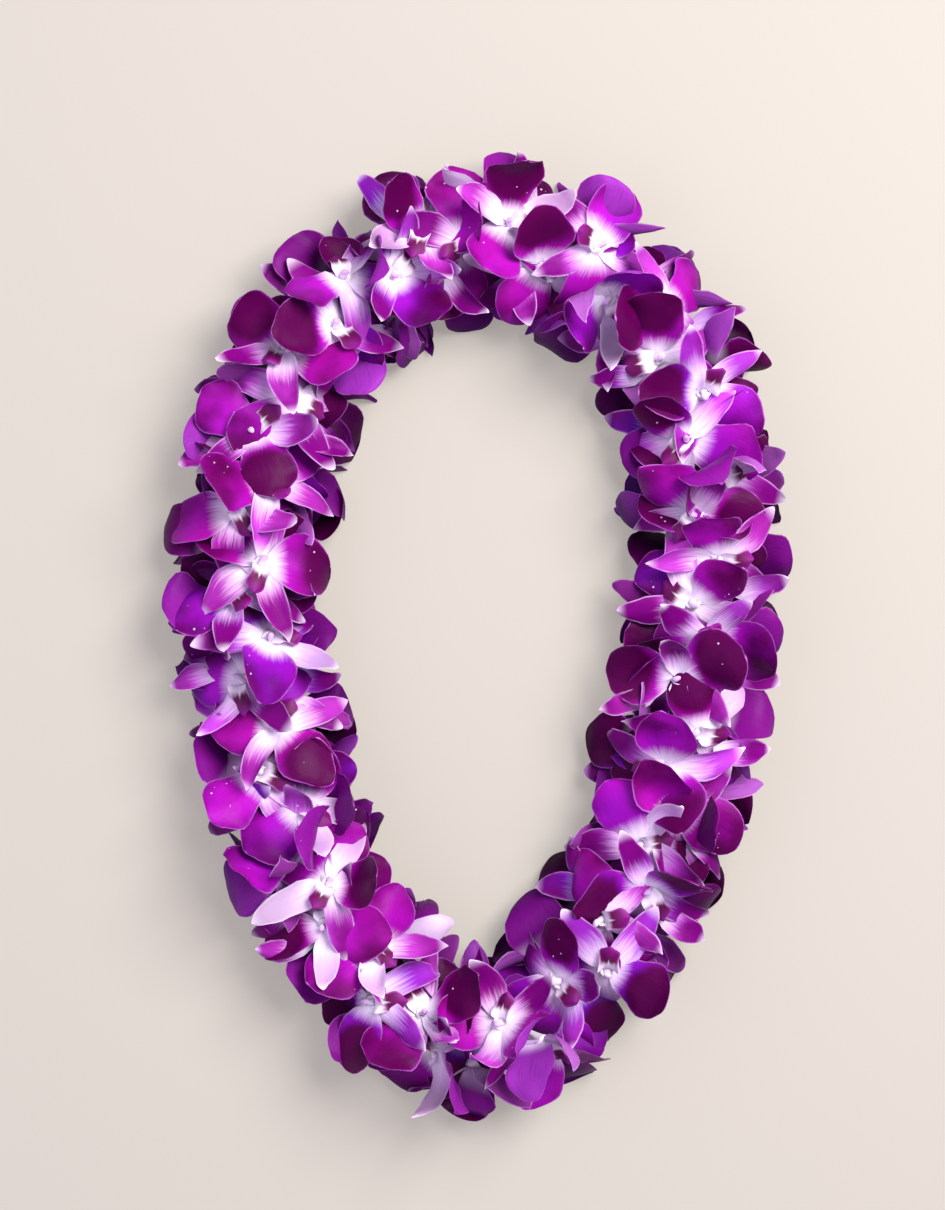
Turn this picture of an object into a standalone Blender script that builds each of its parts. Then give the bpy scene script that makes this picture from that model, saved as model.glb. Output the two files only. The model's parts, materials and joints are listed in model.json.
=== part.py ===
"""A fresh orchid lei: whole dendrobium blooms strung face outwards on one closed loop of cotton string.

The loop lies on a surface at Z = 0, its long way along Y. Two blooms share each station of the string, on
opposite sides of it, and each station is turned from the one before. Three stations, six blooms, make one
bunch, and sixteen bunches close the ring. A bunch is one node: its blooms are joined where their spurs
crowd round the string, and the string runs through it in a free channel.
"""

import functools
import itertools
import math
import random
from typing import NamedTuple

import bmesh
import bpy
import numpy as np
from mathutils import Vector
from mathutils.bvhtree import BVHTree

# The string: its route seen from above, in metres, and its make.
LOOP_ROUTE = (
    (0.110, 0.000), (0.118, 0.060), (0.111, 0.116), (0.085, 0.163), (0.045, 0.195), (-0.004, 0.203),
    (-0.050, 0.184), (-0.084, 0.146), (-0.103, 0.104), (-0.110, 0.054), (-0.110, 0.000),
    (-0.100, -0.056), (-0.079, -0.116), (-0.053, -0.162), (-0.020, -0.191), (0.020, -0.192),
    (0.054, -0.165), (0.081, -0.120), (0.101, -0.064),
)  # fmt: skip
ROUTE_SAMPLES = 40  # between two points of the route, to measure its length
STRING_SEGMENTS = 32  # straight lengths of string, two in each bunch
STRING_HEIGHT = 0.024
STRING_RADIUS = 0.00075
CHANNEL_RADIUS = 0.00125
KNOT_RADIUS = 0.0021
TAIL_LENGTH = 0.011

# The bunches, and how the blooms sit in them.
BUNCHES = 16
STATIONS_PER_BUNCH = 3
BLOOMS_PER_STATION = 2
SEED = 8
HUB_DISTANCE = 0.0155  # from the string to a bloom's throat
HUB_JITTER = 0.0025
STATION_JITTER = 0.0025
UPPER_TURN = 38  # degrees from straight up to an upper bloom's face, left and right in turn
LOWER_TURN = 152  # from there down to the lower bloom on the same station
TURN_JITTER = 20
BUNCH_LEAN = math.tan(math.radians(38))  # a bunch leans forward with height, to overlap the next
FACE_LEAN = math.tan(math.radians(20))  # the faces lean back, as shingles do
FACE_JITTER = 0.25
CORE_RADIUS = 0.0058
CORE_SIDES = 6

# The room a bunch keeps to.
FLOOR_TRIM = 0.0004  # what presses on the surface is flat there
CEILING = 0.066
BUNCH_GAP = 0.0003
KNOT_GAP = 0.0022
WALL_MARGIN = 0.0007

# How the best placed of many blooms is found.
CANDIDATES = 24
ROUNDS = 4
SWING_STEP = 4
SWING_FORWARD = 76
SWING_BACK = 44
EASY_SWING = 30  # degrees of swing that cost 1
CROSSING_COST = 3.0
PAST_WALL_COST = 30000  # for each metre
CROWD_REACH = 0.011
OWN_START = 0.18  # of a lobe's length: nearer the hub, lobes of one bloom may touch
CROSSING_SPACE = 0.0007  # to each side of a lobe's middle surface

# A bloom: six thick lobes round a hub, with the column in front of it and the spur behind.
BLADE = 0.0009
HUB_RADIUS = 0.0040
COLUMN_LENGTH = 0.0050
SPUR_TIP_DISTANCE = 0.0034  # from the string's middle


class Lobe(NamedTuple):
    """One lobe of a bloom. Its angles are in degrees, and at 90 in the face is the dorsal sepal. Its outline
    is pairs of a share of the length and half a share of the width, from the base to the tip."""

    angle: float
    half_base: float
    length: float
    width: float
    rise: float
    outline: tuple


PETAL_OUTLINE = ((0.52, 0.50), (0.94, 0.27))
SEPAL_OUTLINE = ((0.50, 0.50), (1.0, 0.0))
LIP_OUTLINE = ((0.50, 0.50), (1.0, 0.28))
PRESSED_OUTLINE = ((0.62, 0.48), (1.0, 0.0))
UPPER_LOBES = (
    Lobe(18, 44, 0.035, 0.030, 12, PETAL_OUTLINE),
    Lobe(90, 28, 0.033, 0.014, 4, SEPAL_OUTLINE),
    Lobe(162, 44, 0.035, 0.030, 12, PETAL_OUTLINE),
    Lobe(232, 26, 0.033, 0.015, 2, SEPAL_OUTLINE),
    Lobe(270, 12, 0.021, 0.017, 52, LIP_OUTLINE),
    Lobe(308, 26, 0.033, 0.015, 2, SEPAL_OUTLINE),
)
LOWER_LOBES = (  # pressed under the lei, with the lip folded into the throat
    Lobe(18, 44, 0.035, 0.030, 12, PRESSED_OUTLINE),
    Lobe(90, 28, 0.033, 0.014, 4, SEPAL_OUTLINE),
    Lobe(162, 44, 0.035, 0.030, 12, PRESSED_OUTLINE),
    Lobe(238, 32, 0.033, 0.015, 2, SEPAL_OUTLINE),
    Lobe(302, 32, 0.033, 0.015, 2, SEPAL_OUTLINE),
)

BROAD = 0.02  # wider lobes than this are the two petals

UP = np.array((0.0, 0.0, 1.0))


def unit(vector):
    """The vector at length one."""
    return vector / np.linalg.norm(vector)


class StringRoute:
    """The closed smooth curve that the string follows, read by the distance along it."""

    def __init__(self):
        corners = np.array(LOOP_ROUTE)
        samples = []
        for i in range(len(corners)):
            before, start, end, after = (corners[(i + k) % len(corners)] for k in (-1, 0, 1, 2))
            for t in np.arange(ROUTE_SAMPLES) / ROUTE_SAMPLES:
                square = 2 * before - 5 * start + 4 * end - after
                cube = 3 * start - before - 3 * end + after
                samples.append(start + ((end - before) * t + square * t**2 + cube * t**3) / 2)
        samples.append(samples[0])
        self.points = np.array(samples)
        steps = np.linalg.norm(np.diff(self.points, axis=0), axis=1)
        self.along = np.concatenate(([0.0], np.cumsum(steps)))
        self.length = self.along[-1]

    def point(self, distance):
        """The string's middle at that distance, in 3-D."""
        at = distance % self.length
        x, y = (np.interp(at, self.along, self.points[:, i]) for i in (0, 1))
        return np.array((x, y, STRING_HEIGHT))

    def tangent(self, distance):
        """The way the string runs there, counter-clockwise seen from above."""
        reach = self.length / 500
        return unit(self.point(distance + reach) - self.point(distance - reach))

    def outward(self, distance):
        """The level direction there that leaves the ring."""
        return np.cross(self.tangent(distance), UP)

    def ring(self, distance, radius, sides):
        """Points round the string there, in a plane that leans as the ends of a bunch do."""
        points = []
        for angle in np.arange(sides) * 2 * math.pi / sides:
            height = radius * math.cos(angle)
            across = self.outward(distance) * radius * math.sin(angle)
            points.append(self.point(distance) + (UP + self.tangent(distance) * BUNCH_LEAN) * height + across)
        return points


class Bloom(NamedTuple):
    """Where one bloom sits: its throat, its three directions, its spur's tip, its lobes and their swings."""

    hub: np.ndarray
    axes: np.ndarray  # one row each: right, dorsal side, face
    root: np.ndarray
    lobes: tuple
    swings: tuple = ()

    def world(self, local):
        """Points of the bloom's own frame, in the lei's."""
        return self.hub + np.asarray(local) @ self.axes

    def rim(self, lift=0.0):
        """The hub's rim, one point after each lobe."""
        return [self.world(rim_point(lobe.angle + lobe.half_base) + UP * lift) for lobe in self.lobes]


def rim_point(degrees):
    """A point of the hub's rim, in the bloom's own frame."""
    angle = math.radians(degrees)
    return np.array((HUB_RADIUS * math.cos(angle), HUB_RADIUS * math.sin(angle), 0.0))


def lobe_frame(lobe, swing):
    """The middle of a lobe's base and its outward, sideways and upward directions, once swung."""
    angle, rise = math.radians(lobe.angle), math.radians(lobe.rise + swing)
    flat = np.array((math.cos(angle), math.sin(angle), 0.0))
    outwards = flat * math.cos(rise) + UP * math.sin(rise)
    sideways = np.array((-flat[1], flat[0], 0.0))
    base = flat * HUB_RADIUS * math.cos(math.radians(lobe.half_base))
    return base, outwards, sideways, np.cross(outwards, sideways)


@functools.cache
def lobe_outline(lobe, swing):
    """A lobe's outline past the hub's rim, from its right side round the tip, in the bloom's own frame."""
    base, outwards, sideways, _ = lobe_frame(lobe, swing)
    right = [(share, -half) for share, half in lobe.outline]
    left = [(share, half) for share, half in reversed(lobe.outline) if half]
    return np.array(
        [base + outwards * share * lobe.length + sideways * half * lobe.width for share, half in right + left]
    )


@functools.cache
def lobe_slab(lobe, swing, start=0.0):
    """The two faces of the thick sheet that has to stay clear of others, from a share of its length on."""
    base, outwards, sideways, normal = lobe_frame(lobe, swing)
    middle = base + outwards * start * lobe.length
    half = sideways * HUB_RADIUS * math.sin(math.radians(lobe.half_base))
    corners = np.vstack((middle - half, lobe_outline(lobe, swing), middle + half))
    return [corners + normal * CROSSING_SPACE * side for side in (-1, 1)]


def hub_faces(bloom):
    """The faces from the hub's rim to the column's tip and to the spur's."""
    rim = bloom.rim()
    tips = (bloom.world((0, 0, COLUMN_LENGTH)), bloom.root)
    return [np.array((rim[i - 1], rim[i], tip)) for i in range(len(rim)) for tip in tips]


def bloom_pieces(bloom):
    """A bloom's hub and its lobes, each a list of faces."""
    slabs = [lobe_slab(lobe, swing) for lobe, swing in zip(bloom.lobes, bloom.swings)]
    return [hub_faces(bloom)] + [[bloom.world(face) for face in slab] for slab in slabs]


def tree_of(faces):
    """A search tree of some faces."""
    points, polygons = [], []
    for face in faces:
        polygons.append(range(len(points), len(points) + len(face)))
        points.extend(face)
    return BVHTree.FromPolygons(points, polygons)


class Crowd:
    """Pieces already in place, to count how many of them another piece crosses or all but touches."""

    def __init__(self, pieces):
        self.owners = [owner for owner, piece in enumerate(pieces) for _ in piece]
        self.tree = tree_of([face for piece in pieces for face in piece])

    def crossings(self, piece):
        """How many of the pieces this one crosses."""
        return len({self.owners[other] for _, other in tree_of(piece).overlap(self.tree)})


def past_walls(points, walls):
    """How far the points reach past the walls, in metres, or 0 where they are all clear."""
    return max(0.0, max((margin - (points - at) @ normal).max() for at, normal, margin in walls))


def swing_lobe(bloom, lobe, walls, near, own):
    """A lobe's swing from its rest that costs least: small, clear of the walls and crossing little."""
    best = (math.inf, 0)
    for size in range(0, SWING_FORWARD + 1, SWING_STEP):
        effort = (size / EASY_SWING) ** 2
        if effort >= best[0]:
            break
        for swing in (size, -size):
            if swing < -SWING_BACK:
                continue
            cost = effort + PAST_WALL_COST * past_walls(bloom.world(lobe_outline(lobe, swing)), walls)
            if cost < best[0]:
                slab = [bloom.world(face) for face in lobe_slab(lobe, swing)]
                cost += CROSSING_COST * near.crossings(slab)
            if cost < best[0] and own:
                outer = [bloom.world(face) for face in lobe_slab(lobe, swing, OWN_START)]
                cost += CROSSING_COST * own.crossings(outer)
            best = min(best, (cost, swing))
    return best


def settled(bloom, walls, near, enough):
    """The bloom with its lobes swung clear, and what that costs; it gives up past a cost of enough."""
    own, swings = [], {}
    total = CROSSING_COST * near.crossings(hub_faces(bloom))
    for i in sorted(range(len(bloom.lobes)), key=lambda i: -bloom.lobes[i].width):
        lobe = bloom.lobes[i]
        cost, swings[i] = swing_lobe(bloom, lobe, walls, near, Crowd(own) if own else None)
        own.append([bloom.world(face) for face in lobe_slab(lobe, swings[i], OWN_START)])
        total += cost
        if total >= enough:
            return bloom, math.inf
    return bloom._replace(swings=tuple(swings[i] for i in range(len(bloom.lobes)))), total


def petal_middles(bloom):
    """The middles of a bloom's two broad petals, which show most."""
    petals = [lobe for lobe in bloom.lobes if lobe.width > BROAD]
    return [bloom.world(lobe_outline(lobe, 0)).mean(axis=0) for lobe in petals]


def crowding(bloom, others):
    """How much a bloom's petals lie on those of the others."""
    return sum(
        math.exp(-((np.linalg.norm(mine - theirs) / CROWD_REACH) ** 2))
        for mine in petal_middles(bloom)
        for other in others
        for theirs in petal_middles(other)
    )


def best_bloom(candidates, walls, near, others):
    """The candidate that crosses, swings and crowds least."""
    best, least = None, math.inf
    for bloom in candidates:
        cost = crowding(bloom, others)
        if cost < least:
            bloom, strain = settled(bloom, walls, near, least - cost)
            if cost + strain < least:
                best, least = bloom, cost + strain
    return best


def drawn_bloom(route, distance, turn, lobes, draw):
    """A bloom on the string, its face drawn at random round the turn given, its lobes at rest."""
    angle = math.radians(turn + draw.uniform(-TURN_JITTER, TURN_JITTER))
    at = distance + draw.uniform(-STATION_JITTER, STATION_JITTER)
    tangent, outward = route.tangent(at), route.outward(at)
    radial = math.cos(angle) * UP + math.sin(angle) * outward
    around = -math.sin(angle) * UP + math.cos(angle) * outward
    lean = draw.uniform(-FACE_JITTER, FACE_JITTER) - FACE_LEAN * math.cos(angle)
    face = unit(radial + lean * tangent + draw.uniform(-FACE_JITTER, FACE_JITTER) * around)
    roll = draw.uniform(0, 2 * math.pi)
    level = unit(np.cross(face, tangent))
    dorsal = math.cos(roll) * level + math.sin(roll) * np.cross(face, level)
    reach = HUB_DISTANCE + draw.uniform(-HUB_JITTER, HUB_JITTER)
    leaning = radial + tangent * BUNCH_LEAN * math.cos(angle)
    hub = route.point(at) + leaning * reach
    root = route.point(at) + leaning * SPUR_TIP_DISTANCE
    return Bloom(hub, np.array((np.cross(dorsal, face), dorsal, face)), root, lobes)


def end_gap(bunch, sign):
    """The room a bunch leaves to the plane at its start (sign 1) or end (sign -1)."""
    at_knot = (bunch == 0 and sign == 1) or (bunch == BUNCHES - 1 and sign == -1)
    return KNOT_GAP if at_knot else BUNCH_GAP


def bunch_walls(route, bunch):
    """What a bunch stays inside: the surface, a height, and the leaning planes beside its neighbours."""
    spacing = route.length / BUNCHES
    walls = [(np.zeros(3), UP, BLADE / 2), (CEILING * UP, -UP, 0.0)]
    for distance, sign in ((bunch * spacing, 1), ((bunch + 1) * spacing, -1)):
        normal = unit(route.tangent(distance) - BUNCH_LEAN * UP)
        walls.append((route.point(distance), sign * normal, WALL_MARGIN + end_gap(bunch, sign)))
    return walls


def core_rings(route, bunch):
    """The rings of a bunch's core, which is the crowded spurs round the string."""
    spacing = route.length / BUNCHES
    start = bunch * spacing + 2 * end_gap(bunch, 1)
    end = (bunch + 1) * spacing - 2 * end_gap(bunch, -1)
    stops = np.linspace(start, end, STRING_SEGMENTS // BUNCHES + 1)
    return [route.ring(distance, CORE_RADIUS, CORE_SIDES) for distance in stops]


def core_sides(rings):
    """The faces round a core, from ring to ring."""
    return [
        (ring[side - 1], ring[side], following[side], following[side - 1])
        for ring, following in itertools.pairwise(rings)
        for side in range(CORE_SIDES)
    ]


def place_bunch(route, bunch, before, draw):
    """The blooms of one bunch, each the best placed among the rest and those of the bunch before."""
    walls, core = bunch_walls(route, bunch), core_sides(core_rings(route, bunch))
    spacing = route.length / (BUNCHES * STATIONS_PER_BUNCH)
    blooms = {}
    for _ in range(ROUNDS):
        for step, place in itertools.product(range(STATIONS_PER_BUNCH), range(BLOOMS_PER_STATION)):
            station = bunch * STATIONS_PER_BUNCH + step
            turn = (UPPER_TURN - place * LOWER_TURN) * (1 if station % 2 else -1)
            lobes = LOWER_LOBES if place else UPPER_LOBES
            drawn = [blooms.pop((step, place))] if (step, place) in blooms else []
            for _ in range(CANDIDATES):
                drawn.append(drawn_bloom(route, (station + 0.5) * spacing, turn, lobes, draw))
            near = Crowd([core] + [piece for other in blooms.values() for piece in bloom_pieces(other)])
            blooms[step, place] = best_bloom(drawn, walls, near, before + list(blooms.values()))
    return [blooms[key] for key in sorted(blooms)]


def lay_out_blooms(route):
    """Every bunch's blooms, from one seeded draw."""
    draw = random.Random(SEED)
    bunches = [[]]
    for bunch in range(BUNCHES):
        bunches.append(place_bunch(route, bunch, bunches[-1], draw))
    return bunches[1:]


def object_of(name, data, collection):
    """A new object for a mesh or a curve, in a collection."""
    obj = bpy.data.objects.new(name, data)
    collection.objects.link(obj)
    return obj


def object_from(name, body, collection):
    """A new object for a closed body of faces, which is used up, with its faces turned outwards."""
    bmesh.ops.recalc_face_normals(body, faces=body.faces)
    mesh = bpy.data.meshes.new(name)
    body.to_mesh(mesh)
    body.free()
    return object_of(name, mesh, collection)


def applied(obj, name, collection):
    """The object with its modifiers or its curve made a plain mesh, the first object removed."""
    bpy.context.view_layer.update()
    graph = bpy.context.evaluated_depsgraph_get()
    mesh = bpy.data.meshes.new_from_object(obj.evaluated_get(graph))
    bpy.data.objects.remove(obj)
    return object_of(name, mesh, collection)


def boolean(obj, operation, operand, name, collection):
    """The object joined with a collection, or cut by an object, and applied."""
    cut = obj.modifiers.new(operation.lower(), "BOOLEAN")
    cut.operation = operation
    cut.solver = "EXACT"
    if isinstance(operand, bpy.types.Collection):
        cut.operand_type = "COLLECTION"
        cut.collection = operand
        cut.use_self = True
    else:
        cut.object = operand
    return applied(obj, name, collection)


def keep_main_body(obj):
    """Drops loose scraps and fills sealed hollows: only the shell with the most corners stays."""
    body = bmesh.new()
    body.from_mesh(obj.data)
    bmesh.ops.remove_doubles(body, verts=body.verts, dist=0.000002)
    unseen = set(body.verts)
    shells = []
    while unseen:
        shell, edge = set(), [unseen.pop()]
        while edge:
            vert = edge.pop()
            shell.add(vert)
            near = {link.other_vert(vert) for link in vert.link_edges} & unseen
            unseen -= near
            edge.extend(near)
        shells.append(shell)
    shells.sort(key=len)
    bmesh.ops.delete(body, geom=[vert for shell in shells[:-1] for vert in shell], context="VERTS")
    bmesh.ops.triangulate(body, faces=body.faces)
    body.to_mesh(obj.data)
    body.free()


def bloom_layer(body, bloom, side):
    """One side of a bloom, half a blade off its middle: the rim's vertices and each lobe's."""
    rim = [body.verts.new(point) for point in bloom.rim(side * BLADE / 2)]
    lobes = []
    for lobe, swing in zip(bloom.lobes, bloom.swings):
        normal = lobe_frame(lobe, swing)[3]
        outline = bloom.world(lobe_outline(lobe, swing) + normal * side * BLADE / 2)
        lobes.append([body.verts.new(point) for point in outline])
    return rim, lobes


def bloom_solid(name, bloom, collection):
    """A bloom as one closed solid: its thick lobes round the hub, the column in front and the spur behind."""
    body = bmesh.new()
    layers = [bloom_layer(body, bloom, side) for side in (1, -1)]
    tips = [body.verts.new(point) for point in (bloom.world((0, 0, COLUMN_LENGTH)), bloom.root)]
    for (rim, lobes), tip in zip(layers, tips):
        for i, outline in enumerate(lobes):
            body.faces.new((tip, rim[i - 1], rim[i]))
            body.faces.new((rim[i - 1], outline[0], outline[-1], rim[i]))
            body.faces.new(outline)
    for i in range(len(bloom.lobes)):
        edges = [[rim[i - 1], *lobes[i], rim[i]] for rim, lobes in layers]
        for first, second in itertools.pairwise(zip(*edges)):
            body.faces.new((*first, *reversed(second)))
    return object_from(name, body, collection)


def core_solid(name, route, bunch, collection):
    """The core of a bunch as a closed solid, from one end of the bunch to the other."""
    core = bmesh.new()
    rings = [[core.verts.new(point) for point in ring] for ring in core_rings(route, bunch)]
    for corners in core_sides(rings):
        core.faces.new(corners)
    core.faces.new(rings[0])
    core.faces.new(rings[-1])
    return object_from(name, core, collection)


def floor_block(collection):
    """A cutter that makes what presses on the surface flat."""
    block = bmesh.new()
    bmesh.ops.create_cube(block, size=1)
    bmesh.ops.translate(block, verts=block.verts, vec=(0, 0, FLOOR_TRIM - 0.5))
    return object_from("floor", block, collection)


def bunch_node(name, route, bunch, blooms, collection, helpers, cutters):
    """One bunch: its blooms joined with their core, flat where they press on the surface, with the channel."""
    for bloom in blooms:
        bloom_solid("bloom", bloom, helpers)
    node = boolean(core_solid(name, route, bunch, collection), "UNION", helpers, name, collection)
    empty_collection(helpers)
    for cutter in cutters.objects:
        node = boolean(node, "DIFFERENCE", cutter, name, collection)
    keep_main_body(node)
    return node


def tube(name, points, radius, cyclic, collection):
    """A round wire along the points, as a mesh with six sides."""
    curve = bpy.data.curves.new(name, "CURVE")
    curve.dimensions = "3D"
    curve.bevel_depth = radius
    curve.bevel_resolution = 1
    curve.use_fill_caps = True
    spline = curve.splines.new("POLY")
    spline.points.add(len(points) - 1)
    for vert, place in zip(spline.points, points):
        vert.co = (*place, 1.0)
    spline.use_cyclic_u = cyclic
    made = applied(object_of(name, curve, collection), name, collection)
    body = bmesh.new()
    body.from_mesh(made.data)
    bmesh.ops.remove_doubles(body, verts=body.verts, dist=0.000002)
    bpy.data.objects.remove(made)
    return object_from(name, body, collection)


def string_loop(name, radius, route, collection):
    """A closed wire of that radius all along the route."""
    points = [route.point(route.length * step / STRING_SEGMENTS) for step in range(STRING_SEGMENTS)]
    return tube(name, points, radius, True, collection)


def tied_string(route, collection, helpers):
    """The string, tied into a loop: its knot, and the two short ends that stand out of it."""
    loop = string_loop("string", STRING_RADIUS, route, collection)
    knot = bmesh.new()
    bmesh.ops.create_icosphere(knot, subdivisions=1, radius=KNOT_RADIUS)
    bmesh.ops.translate(knot, verts=knot.verts, vec=Vector(route.point(0)))
    object_from("knot", knot, helpers)
    leaning = unit(BUNCH_LEAN * route.tangent(0) + UP)
    for sign in (1, -1):
        way = unit(sign * 0.75 * leaning + 0.65 * route.outward(0))
        points = [route.point(0) + way * TAIL_LENGTH * share for share in (0, 0.5, 1)]
        tube("tail", points, STRING_RADIUS, False, helpers)
    tied = boolean(loop, "UNION", helpers, "string", collection)
    empty_collection(helpers)
    keep_main_body(tied)
    return tied


def empty_collection(collection):
    """Removes every object of a helper collection."""
    for obj in list(collection.objects):
        bpy.data.objects.remove(obj)


def material(name, colour, roughness):
    """A plain Principled material."""
    made = bpy.data.materials.new(name)
    made.use_nodes = True
    shader = made.node_tree.nodes["Principled BSDF"]
    shader.inputs["Base Color"].default_value = (*colour, 1.0)
    shader.inputs["Roughness"].default_value = roughness
    return made


def stand_at_origin(collection):
    """Moves every piece so that the middle of the lei's underside is the origin."""
    corners = np.array([vert.co for obj in collection.objects for vert in obj.data.vertices])
    low, high = corners.min(axis=0), corners.max(axis=0)
    stand = bpy.data.objects.new("lei", None)
    bpy.context.scene.collection.objects.link(stand)
    for obj in collection.objects:
        obj.parent = stand
    stand.location = (-(low[0] + high[0]) / 2, -(low[1] + high[1]) / 2, -low[2])


def new_collection(name):
    """A collection of that name in the scene."""
    made = bpy.data.collections.new(name)
    bpy.context.scene.collection.children.link(made)
    return made


def main():
    """Builds the lei."""
    for obj in list(bpy.data.objects):
        bpy.data.objects.remove(obj)
    lei, helpers, cutters = (new_collection(name) for name in ("orchid_lei", "helpers", "cutters"))
    petal = material("orchid_petal", (0.22, 0.010, 0.28), 0.45)
    cotton = material("cotton_string", (0.80, 0.78, 0.72), 0.90)

    route = StringRoute()
    tied_string(route, lei, helpers).data.materials.append(cotton)
    string_loop("channel", CHANNEL_RADIUS, route, cutters)
    floor_block(cutters)
    for bunch, blooms in enumerate(lay_out_blooms(route)):
        name = f"orchid_blooms_{bunch + 1:02d}"
        node = bunch_node(name, route, bunch, blooms, lei, helpers, cutters)
        node.data.materials.append(petal)
    empty_collection(cutters)
    for collection in (helpers, cutters):
        bpy.data.collections.remove(collection)
    stand_at_origin(lei)


main()
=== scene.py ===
"""The looks of a fresh orchid lei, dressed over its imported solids.

The planner sets the same 96 dendrobium blooms on the same loop of string as the solids have, from the same
sizes and the same seeded draws. Each bunch of six then grows its curved petals, sepals, lips, columns and
stalks on the places of the plain lobes, with more petals tucked in low between them, and the string gets
its twisted strands and its knot.
"""

import sys
import functools
import itertools
import json
import logging
import math
import random
from collections.abc import Iterable, Iterator, Sequence
from dataclasses import dataclass, field, replace
from enum import Enum
from typing import Any

import bpy
import numpy as np
from mathutils import Matrix, Vector
from mathutils.bvhtree import BVHTree

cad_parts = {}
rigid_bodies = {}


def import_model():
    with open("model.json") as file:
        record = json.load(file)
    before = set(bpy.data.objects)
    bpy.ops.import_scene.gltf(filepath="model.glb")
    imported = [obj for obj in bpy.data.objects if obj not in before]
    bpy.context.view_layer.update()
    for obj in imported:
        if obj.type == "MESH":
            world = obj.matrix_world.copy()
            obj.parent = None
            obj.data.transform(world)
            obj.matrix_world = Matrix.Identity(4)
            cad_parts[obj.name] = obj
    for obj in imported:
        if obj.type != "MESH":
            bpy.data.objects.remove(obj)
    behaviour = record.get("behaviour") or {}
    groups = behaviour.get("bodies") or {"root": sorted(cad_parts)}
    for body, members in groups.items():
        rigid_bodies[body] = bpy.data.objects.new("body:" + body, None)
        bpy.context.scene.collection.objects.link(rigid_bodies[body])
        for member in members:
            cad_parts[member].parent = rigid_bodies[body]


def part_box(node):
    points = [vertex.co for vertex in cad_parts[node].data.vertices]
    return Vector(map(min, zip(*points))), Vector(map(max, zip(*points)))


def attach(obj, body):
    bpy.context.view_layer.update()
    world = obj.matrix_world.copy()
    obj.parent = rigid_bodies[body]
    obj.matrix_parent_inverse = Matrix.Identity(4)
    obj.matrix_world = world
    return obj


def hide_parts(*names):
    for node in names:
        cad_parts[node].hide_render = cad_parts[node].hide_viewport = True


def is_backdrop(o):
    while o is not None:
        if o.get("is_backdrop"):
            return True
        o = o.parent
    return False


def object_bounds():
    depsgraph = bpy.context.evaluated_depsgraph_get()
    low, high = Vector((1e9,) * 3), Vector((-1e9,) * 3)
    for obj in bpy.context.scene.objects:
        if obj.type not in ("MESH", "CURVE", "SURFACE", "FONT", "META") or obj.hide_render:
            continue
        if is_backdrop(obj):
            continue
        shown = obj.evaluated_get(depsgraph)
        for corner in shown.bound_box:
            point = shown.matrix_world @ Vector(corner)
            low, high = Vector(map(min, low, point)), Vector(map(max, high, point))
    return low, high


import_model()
CAD_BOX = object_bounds()

log = logging.getLogger("orchid_lei")

Socket = bpy.types.NodeSocket
Colour = tuple[float, float, float]
Place = tuple[float, float, float]
Span = tuple[float, float]  # the least and the most that a number may be
Face = Sequence[np.ndarray]
Wall = tuple[np.ndarray, np.ndarray, float]

UP = np.array((0.0, 0.0, 1.0))


def unit(vector: np.ndarray) -> np.ndarray:
    """The vector at length one."""
    return vector / np.linalg.norm(vector)


def squared_axes(outwards: np.ndarray, sideways: np.ndarray) -> np.ndarray:
    """Three axes, one row each: outwards, sideways, and the front that is square to both."""
    return np.array((outwards, sideways, np.cross(outwards, sideways)))


def sizes_of(piece: Any, names: Iterable[str]) -> dict[str, float]:
    """A sub-assembly's sizes, by the names of its tree's inputs."""
    return {name: getattr(piece, name.lower().replace(" ", "_")) for name in names}


def placed(name: str, data: bpy.types.ID) -> bpy.types.Object:
    """A new object in the scene, of a mesh, a curve, a light or a camera.

    Args:
        name: the object's name.
        data: what it shows.

    Returns:
        The object.
    """
    made = bpy.data.objects.new(name, data)
    bpy.context.scene.collection.objects.link(made)
    return made


def store(mesh: bpy.types.Mesh, label: str, kind: str, domain: str, values: Any) -> None:
    """Stores one value for each point, edge or face of a mesh.

    Args:
        mesh: the mesh.
        label: the name that the values are read by.
        kind: what they are, such as FLOAT.
        domain: what they are stored on, such as POINT.
        values: the values, in order.
    """
    part = "vector" if kind == "FLOAT_VECTOR" else "value"
    mesh.attributes.new(label, kind, domain).data.foreach_set(part, values)


# ---- Node trees, written as expressions ----


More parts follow.
